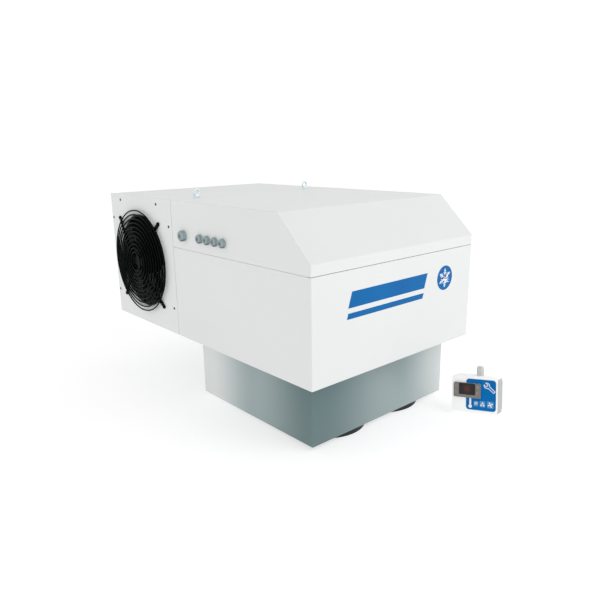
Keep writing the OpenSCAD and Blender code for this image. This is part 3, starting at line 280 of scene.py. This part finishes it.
galvanised = surface_finish(
    "galvanised_steel", (0.62, 0.65, 0.66), (0.54, 0.57, 0.58), cloud_scale=12.0,
    grain_scale=500.0, rough=(0.28, 0.5), bump=0.00005, edge_radius=0.0008,
    edge_tone=(0.8, 0.82, 0.83), dust=0.3, metallic=1.0, colour_from=zinc_spangle)
finish_nodes(galvanised, "base_pan", "bulkhead", "electrical_box", "cond_shroud")


# PLUG
# The plug's sleeve and bottom are satin aluminium sheet, brushed lengthwise. A sheen is painted
# into its colour as a painted reflection, from a dark corner to a light one along each side.
plug_low, plug_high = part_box("plug_sleeve")
plug_dark, plug_middle = (0.088, 0.152, 0.158), (0.30, 0.37, 0.375)
plug_light = (0.70, 0.725, 0.715)
# the painted sheen goes from 0 at a dark corner to 1 at a light one, skewed by a share of each side
dark_until, light_from, painted_sheen_skew = 0.02, 0.95, 0.1
# the painted sheen's share of the colour, at the plug's bottom and at its top
painted_sheen_low, painted_sheen_high = 0.86, 0.94


def painted_sheen_along_sides(tree, colour):
    """Paints a sheen from the dark tone at two opposite corners to the light tone at the other two.
    """
    split = add(tree, "SeparateXYZ", in0=own_place(tree))
    skew = painted_sheen_skew * (plug_high - plug_low)
    across = add(tree, "MapRange", Value=split.outputs["X"], From_Min=plug_low.x,
                 From_Max=plug_high.x + skew.x)
    along = add(tree, "MapRange", Value=split.outputs["Y"], From_Min=plug_low.y,
                From_Max=plug_high.y - skew.y)
    apart = math_step(tree, "SUBTRACT", across.outputs[0], along.outputs[0])
    sheen = add(tree, "Math", {"operation": "ABSOLUTE"}, in0=apart)
    ramp = add(tree, "ValToRGB", in0=sheen.outputs[0])
    ramp.color_ramp.interpolation = "EASE"
    stops = ramp.color_ramp.elements
    stops[0].position, stops[0].color = dark_until, rgba(plug_dark)
    stops[1].position, stops[1].color = light_from, rgba(plug_light)
    stops.new(0.5).color = rgba(plug_middle)
    share = add(tree, "MapRange", Value=split.outputs["Z"], From_Min=plug_low.z, From_Max=plug_high.z,
                To_Min=painted_sheen_low, To_Max=painted_sheen_high)
    return blend_colour(tree, share.outputs[0], colour, ramp.outputs[0])


# the plug's colour carries a painted reflection: a sheen from dark corners to light ones
plug_sheet = surface_finish(
    "brushed_plug_sheet", (0.45, 0.48, 0.48), (0.40, 0.44, 0.44), cloud_scale=4.0,
    grain_scale=260.0, stretch=(1.0, 1.0, 14.0), rough=(0.34, 0.46), bump=0.00003,
    edge_radius=0.001, edge_tone=(0.7, 0.72, 0.72), edge=0.4, dust=0.1, metallic=0.45,
    colour_from=painted_sheen_along_sides)
finish_nodes(plug_sheet, "plug_sleeve", "plug_bottom")


# FOAM LININGS
# Rigid polyurethane foam fills the walls of the plug and the cold chamber, and a foam wall parts
# the two air ducts. Cut foam shows small open cells and yellows unevenly.
def foam_cells(tree, colour):
    """Small darker cells over the foam's own tone."""
    cells = add(tree, "TexVoronoi", Vector=own_place(tree), Scale=420.0)
    wall = add(tree, "MapRange", Value=cells.outputs["Distance"], From_Min=0.1, From_Max=0.7,
               To_Min=0.35, To_Max=0.0)
    return blend_colour(tree, wall.outputs[0], colour, (0.42, 0.36, 0.2))


foam = surface_finish(
    "cut_foam", (0.72, 0.66, 0.44), (0.64, 0.57, 0.35), cloud_scale=9.0, grain_scale=600.0,
    rough=(0.8, 0.95), bump=0.0006, edge_radius=0.0015, edge_tone=(0.8, 0.75, 0.55), dust=0.05,
    specular=0.2, colour_from=foam_cells)
finish_nodes(foam, "chamber_insulation", "plug_insulation", "plug_divider")


# RUBBER
# The roof gasket and the compressor's feet are black EPDM rubber, matt and slightly bloomed. The
# seals in the cable glands are a softer grey rubber.
rubber = surface_finish(
    "black_rubber", (0.030, 0.030, 0.031), (0.045, 0.045, 0.046), cloud_scale=20.0,
    grain_scale=1200.0, rough=(0.62, 0.82), bump=0.00025, edge_radius=0.0008,
    edge_tone=(0.09, 0.09, 0.09), dust=0.35, dust_tone=(0.25, 0.24, 0.22), specular=0.35)
finish_nodes(rubber, "roof_gasket", "compressor_grommets")
seal_rubber = surface_finish(
    "grey_seal_rubber", (0.22, 0.25, 0.26), (0.18, 0.205, 0.21), cloud_scale=30.0,
    grain_scale=1400.0, rough=(0.6, 0.8), bump=0.0002, edge_radius=0.0006,
    edge_tone=(0.34, 0.37, 0.38), dust=0.1, specular=0.3)
finish_nodes(seal_rubber, "gland_seals")


# SCREWS AND LIFTING EYES
# Black screws hold the panels. Bright zinc bolts hold the compressor, dark zinc screws the control
# box, and two bright forged eyes stand on the seam for the crane. Plating is thin, so the rims are
# rubbed brighter.
black_screw = surface_finish(
    "black_passivate", (0.014, 0.019, 0.020), (0.022, 0.028, 0.029), cloud_scale=90.0,
    grain_scale=1500.0, rough=(0.34, 0.5), bump=0.00008, edge_radius=0.0004,
    edge_tone=(0.07, 0.08, 0.08), edge=0.5, dust=0.04, specular=0.3)
finish_nodes(black_screw, "casing_screws")
bright_zinc = surface_finish(
    "zinc_plating", (0.66, 0.69, 0.71), (0.55, 0.58, 0.60), cloud_scale=70.0, grain_scale=1500.0,
    rough=(0.22, 0.4), bump=0.00008, edge_radius=0.0004, edge_tone=(0.85, 0.86, 0.87),
    dust=0.1, metallic=1.0)
finish_nodes(bright_zinc, "compressor_bolts")
dark_zinc = surface_finish(
    "dark_zinc_plating", (0.035, 0.038, 0.040), (0.055, 0.058, 0.060), cloud_scale=90.0,
    grain_scale=1500.0, rough=(0.36, 0.5), bump=0.00008, edge_radius=0.0003,
    edge_tone=(0.16, 0.17, 0.17), edge=0.5, dust=0.0, metallic=1.0)
finish_nodes(dark_zinc, "panel_screws")
forged_eye = surface_finish(
    "bright_forging", (0.80, 0.90, 0.93), (0.70, 0.81, 0.85), cloud_scale=45.0, grain_scale=700.0,
    rough=(0.2, 0.4), bump=0.0002, edge_radius=0.0008, edge_tone=(0.93, 0.96, 0.97), dust=0.04,
    metallic=1.0)
finish_nodes(forged_eye, "eyebolts")


# FAN GUARDS AND FAN RINGS
# The guards are steel wire, spot welded in rings on four arms and coated deep black. The rings
# of the cold-side fans are moulded in black nylon with a faint grey bloom.
guard_coat = surface_finish(
    "black_wire_coat", (0.0008, 0.0016, 0.0016), (0.0016, 0.0028, 0.0028), cloud_scale=30.0,
    grain_scale=1600.0, rough=(0.3, 0.42), bump=0.0001, edge_radius=0.0004,
    edge_tone=(0.012, 0.016, 0.016), edge=0.3, dust=0.01, dust_tone=(0.05, 0.06, 0.06),
    specular=0.035)
finish_nodes(guard_coat, "cond_guard", "evap_guard_left", "evap_guard_right")
ring_nylon = surface_finish(
    "black_nylon", (0.010, 0.015, 0.015), (0.018, 0.025, 0.024), cloud_scale=16.0,
    grain_scale=900.0, rough=(0.4, 0.6), bump=0.0002, edge_radius=0.001,
    edge_tone=(0.05, 0.06, 0.06), dust=0.03, dust_tone=(0.1, 0.11, 0.11), specular=0.2)
finish_nodes(ring_nylon, "evap_ring_left", "evap_ring_right")


# FAN MOTORS AND BLADES
# External-rotor motors in black paint turn sickle blades pressed from sheet steel, which are
# riveted to the rotor and painted with it. Air carries fine dust on to the blades.
motor_paint = surface_finish(
    "black_motor_paint", (0.0008, 0.0014, 0.0014), (0.0014, 0.0024, 0.0024), cloud_scale=25.0,
    grain_scale=900.0, rough=(0.36, 0.54), bump=0.0001, edge_radius=0.0008,
    edge_tone=(0.01, 0.013, 0.013), edge=0.4, dust=0.01, dust_tone=(0.05, 0.06, 0.06),
    specular=0.02)
finish_nodes(motor_paint, "cond_motor", "evap_motor_left", "evap_motor_right", "cond_rotor",
             "evap_rotor_left", "evap_rotor_right")
blade_paint = surface_finish(
    "black_blade_paint", (0.0008, 0.0016, 0.0016), (0.0018, 0.003, 0.003), cloud_scale=18.0,
    grain_scale=1100.0, rough=(0.36, 0.54), bump=0.00012, edge_radius=0.0006,
    edge_tone=(0.014, 0.02, 0.02), edge=0.4, dust=0.01, dust_tone=(0.05, 0.06, 0.06),
    specular=0.02)
finish_nodes(blade_paint, "cond_impeller", "evap_impeller_left", "evap_impeller_right")


# COILS AND DRIP TRAY
# Both coils are copper tube through thin aluminium fins, between folded end plates. The tray
# under the cold coil is pressed aluminium. Fins are bare and dull, and tubes tarnish in blotches.
fin_sheet = surface_finish(
    "coil_fins", (0.62, 0.64, 0.66), (0.52, 0.54, 0.56), cloud_scale=14.0, grain_scale=700.0,
    stretch=(1.0, 1.0, 0.1), rough=(0.3, 0.5), bump=0.00008, edge_radius=0.0002,
    edge_tone=(0.75, 0.77, 0.79), dust=0.25, metallic=1.0)
finish_nodes(fin_sheet, "evaporator_fins", "condenser_fins")
coil_plate = surface_finish(
    "rolled_aluminium", (0.58, 0.60, 0.61), (0.50, 0.52, 0.53), cloud_scale=10.0,
    grain_scale=420.0, stretch=(0.12, 1.0, 1.0), rough=(0.26, 0.42), bump=0.00005,
    edge_radius=0.0008, edge_tone=(0.8, 0.81, 0.82), dust=0.2, metallic=1.0)
finish_nodes(coil_plate, "evaporator_frame", "condenser_frame", "drip_tray")


def tarnish(tree, colour):
    """Brown blotches on the copper."""
    blotch = add(tree, "TexNoise", Vector=own_place(tree), Scale=38.0, Detail=5.0)
    share = add(tree, "MapRange", Value=blotch.outputs[0], From_Min=0.48, From_Max=0.72, To_Max=0.8)
    return blend_colour(tree, share.outputs[0], colour, (0.30, 0.13, 0.07))


copper = surface_finish(
    "copper_tube", (0.78, 0.40, 0.25), (0.70, 0.34, 0.20), cloud_scale=24.0, grain_scale=500.0,
    rough=(0.24, 0.45), bump=0.00006, edge_radius=0.0006, edge_tone=(0.88, 0.52, 0.36), dust=0.1,
    metallic=1.0, colour_from=tarnish)
finish_nodes(copper, "evaporator_tubes", "condenser_tubes", "discharge_line", "suction_line",
             "liquid_line")


# COMPRESSOR SET
# The compressor shell and the receiver are deep-drawn steel in glossy black enamel. The cover
# over the compressor's terminals is black moulded plastic.
enamel = surface_finish(
    "black_enamel", (0.012, 0.012, 0.014), (0.018, 0.018, 0.020), cloud_scale=12.0,
    grain_scale=300.0, rough=(0.16, 0.3), bump=0.0002, edge_radius=0.0012,
    edge_tone=(0.05, 0.05, 0.055), dust=0.25, dust_tone=(0.2, 0.19, 0.18), coat=0.5)
finish_nodes(enamel, "compressor_shell", "liquid_receiver")
terminal_cap = surface_finish(
    "terminal_plastic", (0.045, 0.045, 0.047), (0.06, 0.06, 0.062), cloud_scale=30.0,
    grain_scale=1100.0, rough=(0.48, 0.66), bump=0.00025, edge_radius=0.001,
    edge_tone=(0.13, 0.13, 0.13), dust=0.2)
finish_nodes(terminal_cap, "compressor_terminal_cover")
drain_pvc = surface_finish(
    "drain_plastic", (0.30, 0.31, 0.32), (0.36, 0.37, 0.38), cloud_scale=25.0, grain_scale=900.0,
    rough=(0.36, 0.52), bump=0.0001, edge_radius=0.0008, edge_tone=(0.5, 0.51, 0.52), dust=0.15)
finish_nodes(drain_pvc, "drain_pipe")


# CABLE GLANDS
# One larger and four smaller glands in grey nylon stand over the hood's seam, each with a
# six-sided nut. Moulded nylon is satin and a little blue in its grey. A highlight is painted on
# its corners, and painted shade on its faces that look down.
def paint_shade_below(tree, colour):
    """Faces that look down are painted darker, as shade."""
    facing = add(tree, "NewGeometry")
    split = add(tree, "SeparateXYZ", in0=facing.outputs["Normal"])
    share = add(tree, "MapRange", Value=split.outputs["Z"], From_Min=-0.1, From_Max=-0.6, To_Max=0.85)
    return blend_colour(tree, share.outputs[0], colour, (0.045, 0.075, 0.08))


# the light edge tone paints a highlight on the corners, and downward faces get painted shade
gland_nylon = surface_finish(
    "grey_gland_nylon", (0.31, 0.39, 0.405), (0.27, 0.345, 0.36), cloud_scale=40.0,
    grain_scale=1300.0, rough=(0.42, 0.56), bump=0.00012, edge_radius=0.0009,
    edge_tone=(0.60, 0.68, 0.69), edge=0.9, dust=0.0, specular=0.3, colour_from=paint_shade_below)
finish_nodes(gland_nylon, "gland_bodies", "gland_nuts")


# CONTROL BOX
# A small two-part box in white ABS with a lightly grained skin, and a light grey cable gland on
# its top. Screws go in from the back through pockets in its corners.
mm = 0.001
box_turn, box_lean, box_roll = math.radians(-74), math.radians(12), math.radians(-6)
box_depth, box_half_w = 56 * mm, 70 * mm
box_x, box_y, ground_z = 212.4 * mm, -459.3 * mm, -209 * mm
# leaning lifts the front edge off the ground by the first term, and rolling by the second
box_lift = box_depth * math.sin(box_lean) + box_half_w * math.sin(-box_roll) * math.cos(box_lean)
box_foot = Vector((box_x, box_y, ground_z + box_lift))
box_front = (Matrix.Translation(box_foot) @ Matrix.Rotation(box_turn, 4, "Z")
             @ Matrix.Rotation(-box_lean, 4, "X") @ Matrix.Rotation(box_roll, 4, "Y"))
box_right = box_front.to_3x3().col[0].normalized()
# painted shade: the box's right side is painted a duller grey than its front
side_shade_grey, side_shade_from, side_shade_full = (0.35, 0.36, 0.355), box_half_w - 1.2 * mm, box_half_w - 0.1 * mm
# the box is painted with a faint glow of its own, as painted light
box_painted_glow = 0.07


def paint_side_shade(tree, colour):
    """Paints the box's right side a duller grey than its front, as shade."""
    from_foot = add(tree, "VectorMath", {"operation": "SUBTRACT"}, in0=own_place(tree),
                    in1=tuple(box_foot))
    across = add(tree, "VectorMath", {"operation": "DOT_PRODUCT"}, in0=from_foot.outputs[0],
                 in1=tuple(box_right))
    share = add(tree, "MapRange", Value=across.outputs["Value"], From_Min=side_shade_from,
                From_Max=side_shade_full)
    return blend_colour(tree, share.outputs[0], colour, side_shade_grey)


def add_glow(material, strength):
    """Gives a surface a faint glow of its own, so it gives back a little more light than falls on it.
    """
    shader = material.node_tree.nodes["Principled BSDF"]
    shader.inputs["Emission Color"].default_value = (1.0, 1.0, 1.0, 1.0)
    shader.inputs["Emission Strength"].default_value = strength


box_abs = surface_finish(
    "white_abs", (0.95, 0.945, 0.935), (0.915, 0.91, 0.90), cloud_scale=12.0, grain_scale=1800.0,
    rough=(0.42, 0.58), bump=0.00015, edge_radius=0.001, edge_tone=(0.95, 0.95, 0.94), edge=0.3,
    dust=0.0, colour_from=paint_side_shade)
# painted light: a faint glow makes the white box brighter than its lighting does
add_glow(box_abs, box_painted_glow)
finish_nodes(box_abs, "panel_box", "panel_cover")
box_gland = surface_finish(
    "light_grey_nylon", (0.60, 0.60, 0.59), (0.54, 0.54, 0.53), cloud_scale=50.0,
    grain_scale=1500.0, rough=(0.38, 0.52), bump=0.0001, edge_radius=0.0008,
    edge_tone=(0.74, 0.74, 0.73), edge=0.8, dust=0.06)
finish_nodes(box_gland, "panel_gland")


# CONTROL BOX LABEL
# A blue printed film with rounded corners and a thin white margin is stuck to the front. Its
# pictures are plain signs: a thermometer, a snowflake, water drops and a fan in a row of light
# tiles, and the outline of a spanner above them.
label_film = surface_finish(
    "blue_label_film", (0.0, 0.152, 0.450), (0.0, 0.138, 0.425), cloud_scale=30.0,
    grain_scale=2500.0, rough=(0.3, 0.4), bump=0.00002, edge_radius=0.0003,
    edge_tone=(0.02, 0.16, 0.45), edge=0.3, dust=0.0, specular=0.06)
finish_nodes(label_film, "panel_label")
white_ink = surface_finish(
    "white_ink", (0.86, 0.88, 0.90), (0.80, 0.83, 0.86), cloud_scale=60.0, grain_scale=2500.0,
    rough=(0.3, 0.4), bump=0.00002, edge_radius=0.0002, edge_tone=(0.9, 0.92, 0.95), dust=0.02)
tile_ink = surface_finish(
    "light_blue_ink", (0.10, 0.27, 0.56), (0.08, 0.24, 0.52), cloud_scale=60.0,
    grain_scale=2500.0, rough=(0.26, 0.36), bump=0.00002, edge_radius=0.0002,
    edge_tone=(0.3, 0.5, 0.75), dust=0.02)


def arc(x, y, radius, start, stop, steps=16):
    """Points round (x, y) from one angle to another, in degrees."""
    return [(x + radius * math.cos(math.radians(start + (stop - start) * i / steps)),
             y + radius * math.sin(math.radians(start + (stop - start) * i / steps)))
            for i in range(steps + 1)]


def rounded_box(x, y, wide, high, radius):
    """A rectangle about (x, y) with rounded corners."""
    dx, dy = wide / 2 - radius, high / 2 - radius
    return [p for sx, sy, start in ((1, 1, 0), (-1, 1, 90), (-1, -1, 180), (1, -1, 270))
            for p in arc(x + sx * dx, y + sy * dy, radius, start, start + 90, 8)]


def cut_film(name, outlines, place, lift, thick, finish):
    """Cuts a film from flat outlines, in mm, and lays it lift above the face that place names."""
    drawing = bpy.data.curves.new(name, "CURVE")
    drawing.dimensions = "2D"
    drawing.fill_mode = "BOTH"
    drawing.extrude = thick * mm / 2
    for outline in outlines:
        line = drawing.splines.new("POLY")
        line.points.add(len(outline) - 1)
        for point, (x, y) in zip(line.points, outline):
            point.co = (x * mm, y * mm, 0.0, 1.0)
        line.use_cyclic_u = True
    rough_cut = bpy.data.objects.new(name + "_drawing", drawing)
    bpy.context.scene.collection.objects.link(rough_cut)
    bpy.context.view_layer.update()
    cut_now = rough_cut.evaluated_get(bpy.context.evaluated_depsgraph_get())
    mesh = bpy.data.meshes.new_from_object(cut_now)
    bpy.data.objects.remove(rough_cut)
    bpy.data.curves.remove(drawing)
    solid = bmesh.new()
    solid.from_mesh(mesh)
    bmesh.ops.remove_doubles(solid, verts=solid.verts, dist=1e-6)
    bmesh.ops.recalc_face_normals(solid, faces=solid.faces)
    solid.to_mesh(mesh)
    solid.free()
    mesh.name = name
    mesh.transform(place @ Matrix.Translation((0, 0, (lift + thick / 2) * mm)))
    mesh.materials.clear()
    mesh.materials.append(finish)
    film = bpy.data.objects.new(name, mesh)
    bpy.context.scene.collection.objects.link(film)
    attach(film, "unit")
    return film


def snowflake(x, y, radius, half=0.055, reach=0.26):
    """One closed outline: six arms, each with two branches; sizes are shares of the radius."""
    branch_lean = math.radians(55)
    out_x, out_y = math.sin(branch_lean), math.cos(branch_lean)
    branch_thick = 1.5 * half
    side = [(half, half / math.tan(math.radians(30)))]
    for root_y, length in ((0.42, reach), (0.68, 0.62 * reach)):
        tip_x, tip_y = half + out_x * length, root_y + out_y * length
        side += [(half, root_y), (tip_x, tip_y),
                 (tip_x - out_y * branch_thick, tip_y + out_x * branch_thick),
                 (half, root_y + branch_thick / out_x)]
    side.append((half, 1.0))
    arm = side + [(-px, py) for px, py in reversed(side[1:])]
    points = []
    for k in range(6):
        turn = math.radians(-60 * k)
        points += [(x + radius * (px * math.cos(turn) - py * math.sin(turn)),
                    y + radius * (px * math.sin(turn) + py * math.cos(turn))) for px, py in arm]
    return points


def drop(x, y, high):
    """A falling drop, round below and pointed above."""
    round_r = 0.32 * high
    return arc(x, y - high / 2 + round_r, round_r, 150, 390, 20) + [(x, y + high / 2)]


def fan_sign(x, y, radius):
    """Four swept blades round a hub, as one outline."""
    hub_r = 0.25 * radius
    blade = ((0.6, 2), (0.95, 8), (1.0, 22), (0.94, 40), (0.7, 46), (0.42, 44))  # share, degrees
    points = []
    for k in range(4):
        turn = 90 * k
        points += arc(x, y, hub_r, turn - 28, turn + 8, 3)
        points += [(x + radius * share * math.cos(math.radians(turn + angle)),
                    y + radius * share * math.sin(math.radians(turn + angle)))
                   for share, angle in blade]
    return points


def thermometer(x, low, high):
    """A tube over a bulb, as one outline."""
    tube_r, bulb_r = 3.0, 5.4
    meet = math.degrees(math.acos(tube_r / bulb_r))
    return (arc(x, low + bulb_r, bulb_r, 180 - meet, 360 + meet, 28)
            + arc(x, high - tube_r, tube_r, 0, 180, 12))


def spanner(x, y, length, turn, grow):
    """The outline of an open-ended spanner at an angle, made larger all round by grow."""
    head, neck, jaw = 0.22 * length + grow, 0.085 * length + grow, 0.1 * length - grow
    head_x = 0.28 * length
    jaw_floor_x = head_x - 0.04 * length + grow
    start, stop = math.degrees(math.asin(neck / head)), math.degrees(math.asin(jaw / head))
    side = [(-length / 2 - grow, neck)] + arc(head_x, 0, head, 180 - start, stop, 16)
    side += [(jaw_floor_x, jaw)]
    whole = side + [(px, -py) for px, py in reversed(side)]
    cos, sin = math.cos(math.radians(turn)), math.sin(math.radians(turn))
    return [(x + px * cos - py * sin, y + px * sin + py * cos) for px, py in whole]


# The label's flat drawing is in mm: X across and Y up, from the middle of the box's lower edge.
label_place = box_front @ Matrix.Rotation(math.radians(90), 4, "X")
label_x, label_y, label_w, label_h, label_r = 19.0, 57.5, 90.0, 95.0, 9.0
label_thick, ink_thick = 0.8, 0.12
margin, margin_thick, margin_gap = 1.6, 0.5, 0.2
tile_face = label_thick + ink_thick / 2


def print_sign(name, outlines, face=label_thick, thick=ink_thick, ink=white_ink):
    """Prints a sign on the label, or on something that lies on it."""
    cut_film(name, outlines, label_place, face, thick, ink)


margin_outline = rounded_box(label_x, label_y, label_w + 2 * margin, label_h + 2 * margin,
                             label_r + margin)
label_opening = rounded_box(label_x, label_y, label_w + margin_gap, label_h + margin_gap, label_r)
print_sign("label_margin", [margin_outline, label_opening], face=0.0, thick=margin_thick)
print_sign("label_thermometer", [thermometer(x=-13.0, low=15.0, high=46.5)])
sign_y, tile_r, tile_rise = 30.0, 1.5, 1.5
flake_x, drops_x, fan_x = 4.7, 24.3, 47.8
print_sign("label_tiles",
           [rounded_box(x, sign_y, wide, wide + tile_rise, tile_r)
            for x, wide in ((flake_x, 14.0), (drops_x, 16.5), (fan_x, 19.0))],
           thick=ink_thick / 2, ink=tile_ink)
print_sign("label_snowflake", [snowflake(flake_x, sign_y, 5.6, half=0.09, reach=0.3)], face=tile_face)
print_sign("label_drops",
           [drop(drops_x + dx, sign_y + dy, 7.2) for dx, dy in ((0, 3.2), (-3.9, -2.6), (3.9, -2.6))],
           face=tile_face)
print_sign("label_fan", [fan_sign(fan_x, sign_y, 8.2)], face=tile_face)
spanner_x, spanner_y, spanner_length, spanner_turn = 45.0, 81.0, 38.0, 140.0
print_sign("label_spanner", [spanner(spanner_x, spanner_y, spanner_length, spanner_turn, grow)
                             for grow in (1.0, -1.0)])


# THERMOSTAT
# The thermostat is a grey-brown moulded bezel snapped into the cover, with a dark clear window
# and four soft keys. Unlit, the window shows a trace of red from the digits behind it.
bezel_plastic = surface_finish(
    "bezel_plastic", (0.185, 0.172, 0.166), (0.225, 0.210, 0.203), cloud_scale=45.0,
    grain_scale=1800.0, rough=(0.34, 0.5), bump=0.00012, edge_radius=0.0012,
    edge_tone=(0.36, 0.33, 0.30), edge=0.7, dust=0.05)
finish_nodes(bezel_plastic, "thermostat_case")
key_rubber = surface_finish(
    "key_rubber", (0.235, 0.205, 0.18), (0.27, 0.24, 0.21), cloud_scale=60.0, grain_scale=1800.0,
    rough=(0.42, 0.56), bump=0.0001, edge_radius=0.001, edge_tone=(0.42, 0.38, 0.34), edge=0.7,
    dust=0.04)
finish_nodes(key_rubber, "key_1", "key_2", "key_3", "key_4")
window_low, window_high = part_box("thermostat_window")
window_centre = (window_low + window_high) / 2
trace_inner, trace_outer = 1 * mm, 16 * mm


def red_trace(tree, colour):
    """A dim warm patch at the middle of the window."""
    away = add(tree, "VectorMath", {"operation": "DISTANCE"}, in0=own_place(tree),
               in1=tuple(window_centre))
    share = add(tree, "MapRange", Value=away.outputs["Value"], From_Min=trace_inner,
                From_Max=trace_outer, To_Min=0.8, To_Max=0.0)
    return blend_colour(tree, share.outputs[0], colour, (0.10, 0.022, 0.012))


window_glass = surface_finish(
    "dark_window", (0.006, 0.005, 0.006), (0.009, 0.008, 0.009), cloud_scale=80.0,
    grain_scale=900.0, rough=(0.05, 0.1), bump=0.00001, edge_radius=0.0006,
    edge_tone=(0.03, 0.03, 0.03), dust=0.0, coat=0.25, coat_rough=0.03, specular=0.2,
    colour_from=red_trace)
finish_nodes(window_glass, "thermostat_window")


# FRONT STRIPES AND BADGE
# Two blue vinyl stripes and a round blue badge with a white snowflake are stuck to the upright
# front of the casing, to the right of its middle.
vinyl = surface_finish(
    "blue_vinyl", (0.0, 0.130, 0.380), (0.0, 0.118, 0.355), cloud_scale=10.0, grain_scale=1800.0,
    rough=(0.3, 0.4), bump=0.00002, edge_radius=0.0002, edge_tone=(0.02, 0.16, 0.45), edge=0.3,
    dust=0.0, specular=0.12)
front_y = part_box("front_casing")[0].y
base_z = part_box("base_pan")[0].z
front_place = Matrix.Translation((0, front_y, base_z)) @ Matrix.Rotation(math.radians(90), 4, "X")
vinyl_thick = 0.15


def leaning_stripe(left, right, low, high, lean):
    """A stripe with leaning ends."""
    return [(left, low), (right, low), (right + lean, high), (left + lean, high)]


def stick_on_front(name, outline, face=0.0, film=vinyl):
    """Sticks a film on the front; its drawing is in mm from the middle of the lower edge."""
    cut_film(name, [outline], front_place, face, vinyl_thick, film)


stick_on_front("front_stripe_thick", leaning_stripe(left=-214, right=108, low=196, high=240, lean=14))
stick_on_front("front_stripe_thin", leaning_stripe(left=-219, right=101, low=166, high=182, lean=5))
badge_x, badge_y, badge_r, flake_r = 208.5, 212.0, 38.0, 29.0
badge_steps = 60
stick_on_front("front_badge",
               arc(badge_x, badge_y, badge_r, 0, 360 - 360 / badge_steps, badge_steps - 1))
stick_on_front("front_badge_flake", snowflake(badge_x, badge_y, flake_r), face=vinyl_thick,
               film=white_ink)


# STUDIO
# A wide white floor in a white room that dims a little towards its ceiling, with one soft box
# before the front, so that the front and the slope are the brightest sides, as in the photograph.
floor_z = min(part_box(name)[0].z for name in nodes)
floor_size, floor_gap, floor_glow = 40.0, 0.5 * mm, 0.57
floor_mesh = bpy.data.meshes.new("studio_floor")
paper = bmesh.new()
bmesh.ops.create_grid(paper, x_segments=8, y_segments=8, size=floor_size / 2,
                      matrix=Matrix.Translation((0, 0, floor_z - floor_gap)))
paper.to_mesh(floor_mesh)
paper.free()
floor = bpy.data.objects.new("studio_floor", floor_mesh)
bpy.context.scene.collection.objects.link(floor)
floor_paper = surface_finish(
    "floor_paper", (0.55, 0.55, 0.55), (0.54, 0.54, 0.54), cloud_scale=1.5, grain_scale=300.0,
    rough=(0.8, 0.9), bump=0.00005, dust=0.0, specular=0.1)
add_glow(floor_paper, floor_glow)
floor_mesh.materials.append(floor_paper)

room = bpy.data.worlds.new("studio_room")
room.use_nodes = True
room_light = room.node_tree.nodes["Background"]
room_light.inputs["Color"].default_value = (1.0, 1.0, 1.0, 1.0)
skyward = add(room.node_tree, "TexCoord")
height = add(room.node_tree, "SeparateXYZ", in0=skyward.outputs["Generated"])
dims_from, wall_light, ceiling_light = 0.25, 1.105, 0.57
dimmer = add(room.node_tree, "MapRange", Value=height.outputs["Z"], From_Min=dims_from,
             From_Max=1.0, To_Min=wall_light, To_Max=ceiling_light)
room.node_tree.links.new(dimmer.outputs[0], room_light.inputs["Strength"])
bpy.context.scene.world = room


def soft_box(name, place, aim, wide, high, watts, tint):
    """A rectangular area light that looks at aim."""
    lamp_data = bpy.data.lights.new(name, "AREA")
    lamp_data.shape = "RECTANGLE"
    lamp_data.size, lamp_data.size_y, lamp_data.energy = wide, high, watts
    lamp_data.color = tint
    lamp = bpy.data.objects.new(name, lamp_data)
    lamp.location = place
    lamp.rotation_euler = (Vector(aim) - Vector(place)).to_track_quat("-Z", "Y").to_euler()
    bpy.context.scene.collection.objects.link(lamp)


soft_box("front_soft_box", place=(1.0, -3.0, 2.9), aim=(0.0, 0.0, 0.1), wide=2.4, high=2.4,
         watts=44.0, tint=(0.93, 0.965, 1.0))
bpy.context.scene.view_settings.view_transform = "Standard"
